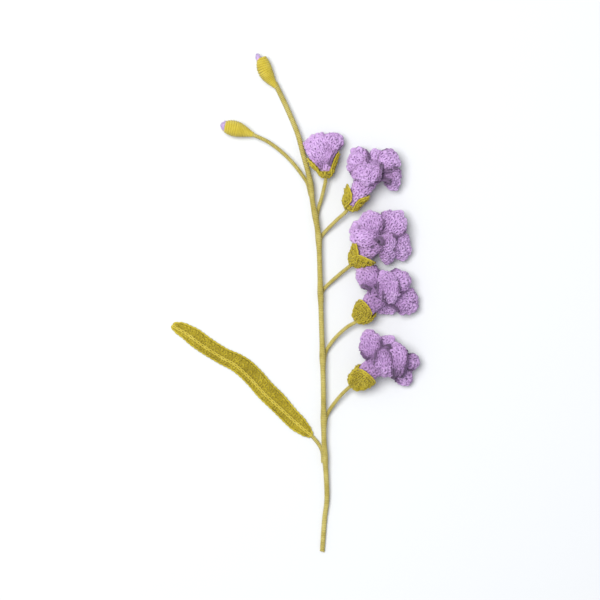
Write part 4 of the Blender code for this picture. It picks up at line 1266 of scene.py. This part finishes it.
def leaf_reach(s, column):
    """How far the leaf reaches from its rib, above it (column 1) or below it (column 2)."""
    start, end, part = between(LEAF_REACH, s)
    eased = part * part * (3 - 2 * part)
    return start[column] + (end[column] - start[column]) * eased


rib = smooth_path([(x, y, 0.0) for x, y in LEAF_RIB], RIB_SPACING)


def leaf_place(side):
    """One side of the leaf: s from the rib to the edge, v along the rib."""
    def place(s, v):
        along = 0.5 * (v + 1.0)
        spot = along * (len(rib) - 1)
        index = min(len(rib) - 2, int(spot))
        point = rib[index].lerp(rib[index + 1], spot - index)
        ahead = (rib[min(index + 2, len(rib) - 1)] - rib[max(index - 1, 0)]).normalized()
        outward = Vector((ahead.y, -ahead.x, 0.0)) * side
        reach = (leaf_reach(along, 1 if side > 0 else 2) - LEAF_EDGE_INSET) * s
        height = LEAF_HEIGHT + LEAF_CROWN * math.sin(math.pi * s)
        return point + outward * reach + UPWARDS * height

    return place


made = []
for side, rows in ((1, 2), (-1, 1)):
    points = sheet_points(leaf_place(side), LEAF_GRID_ROWS, LEAF_GRID_COLUMNS)
    if side > 0:
        points = [row[::-1] for row in points]
    name = "leaf_upper" if side > 0 else "leaf_lower"
    made += [stitched(name, points, rows, LEAF_STITCHES, LEAF_YARN, LEAF_RELIEF, LEAF_SHADES,
                      LEAF_SEED, OLIVE),
             backing_sheet(name + "_backing", points, LEAF_BACKING, OLIVE_SHADE_BACKING),
             chain(name + "_edge", points[-1], [UPWARDS] * len(points[-1]), OLIVE,
                   pitch=LEAF_LINK, radius=LEAF_YARN)]
spine = [point + UPWARDS * RIB_HEIGHT for point in rib]
made.append(chain("leaf_rib", spine, [UPWARDS] * len(spine), BUD_OLIVE, pitch=LEAF_LINK,
                  width=RIB_WIDTH, radius=LEAF_YARN))
hand_over(join("leaf_crochet", made), "olive_yarn", "leaf")

# %% [markdown]
# ## The bare wires
# The wires inside the stem and the stalks hold them in shape, and only the stem's wire shows,
# at its cut end. The solids already have the right shape, so they stay and get a better
# finish: bare metal, a little uneven from being drawn.

# %% The wire's finish
SCRATCH_SCALE = 1800.0
SCRATCH_DETAIL = 4.0
WIRE_GREYS = ((0.3, (0.30, 0.30, 0.29)), (0.7, (0.56, 0.57, 0.55)))
WIRE_ROUGHNESS = 0.3

steel, shader = new_material("florist_wire", {"Metallic": 1.0})
tree = steel.node_tree
place = add(tree, "ShaderNodeTexCoord").outputs["Object"]
scratches = noise(tree, place, SCRATCH_SCALE, SCRATCH_DETAIL)
feed(tree, shader.inputs["Base Color"], shader_ramp(tree, scratches, WIRE_GREYS))
feed(tree, shader.inputs["Roughness"],
     calc(tree, "MULTIPLY_ADD", scratches, WIRE_ROUGHNESS, WIRE_ROUGHNESS))
for name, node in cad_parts.items():
    if name.endswith("wire"):
        node.data.materials.clear()
        node.data.materials.append(steel)
print("wires", sum(name.endswith("wire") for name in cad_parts))
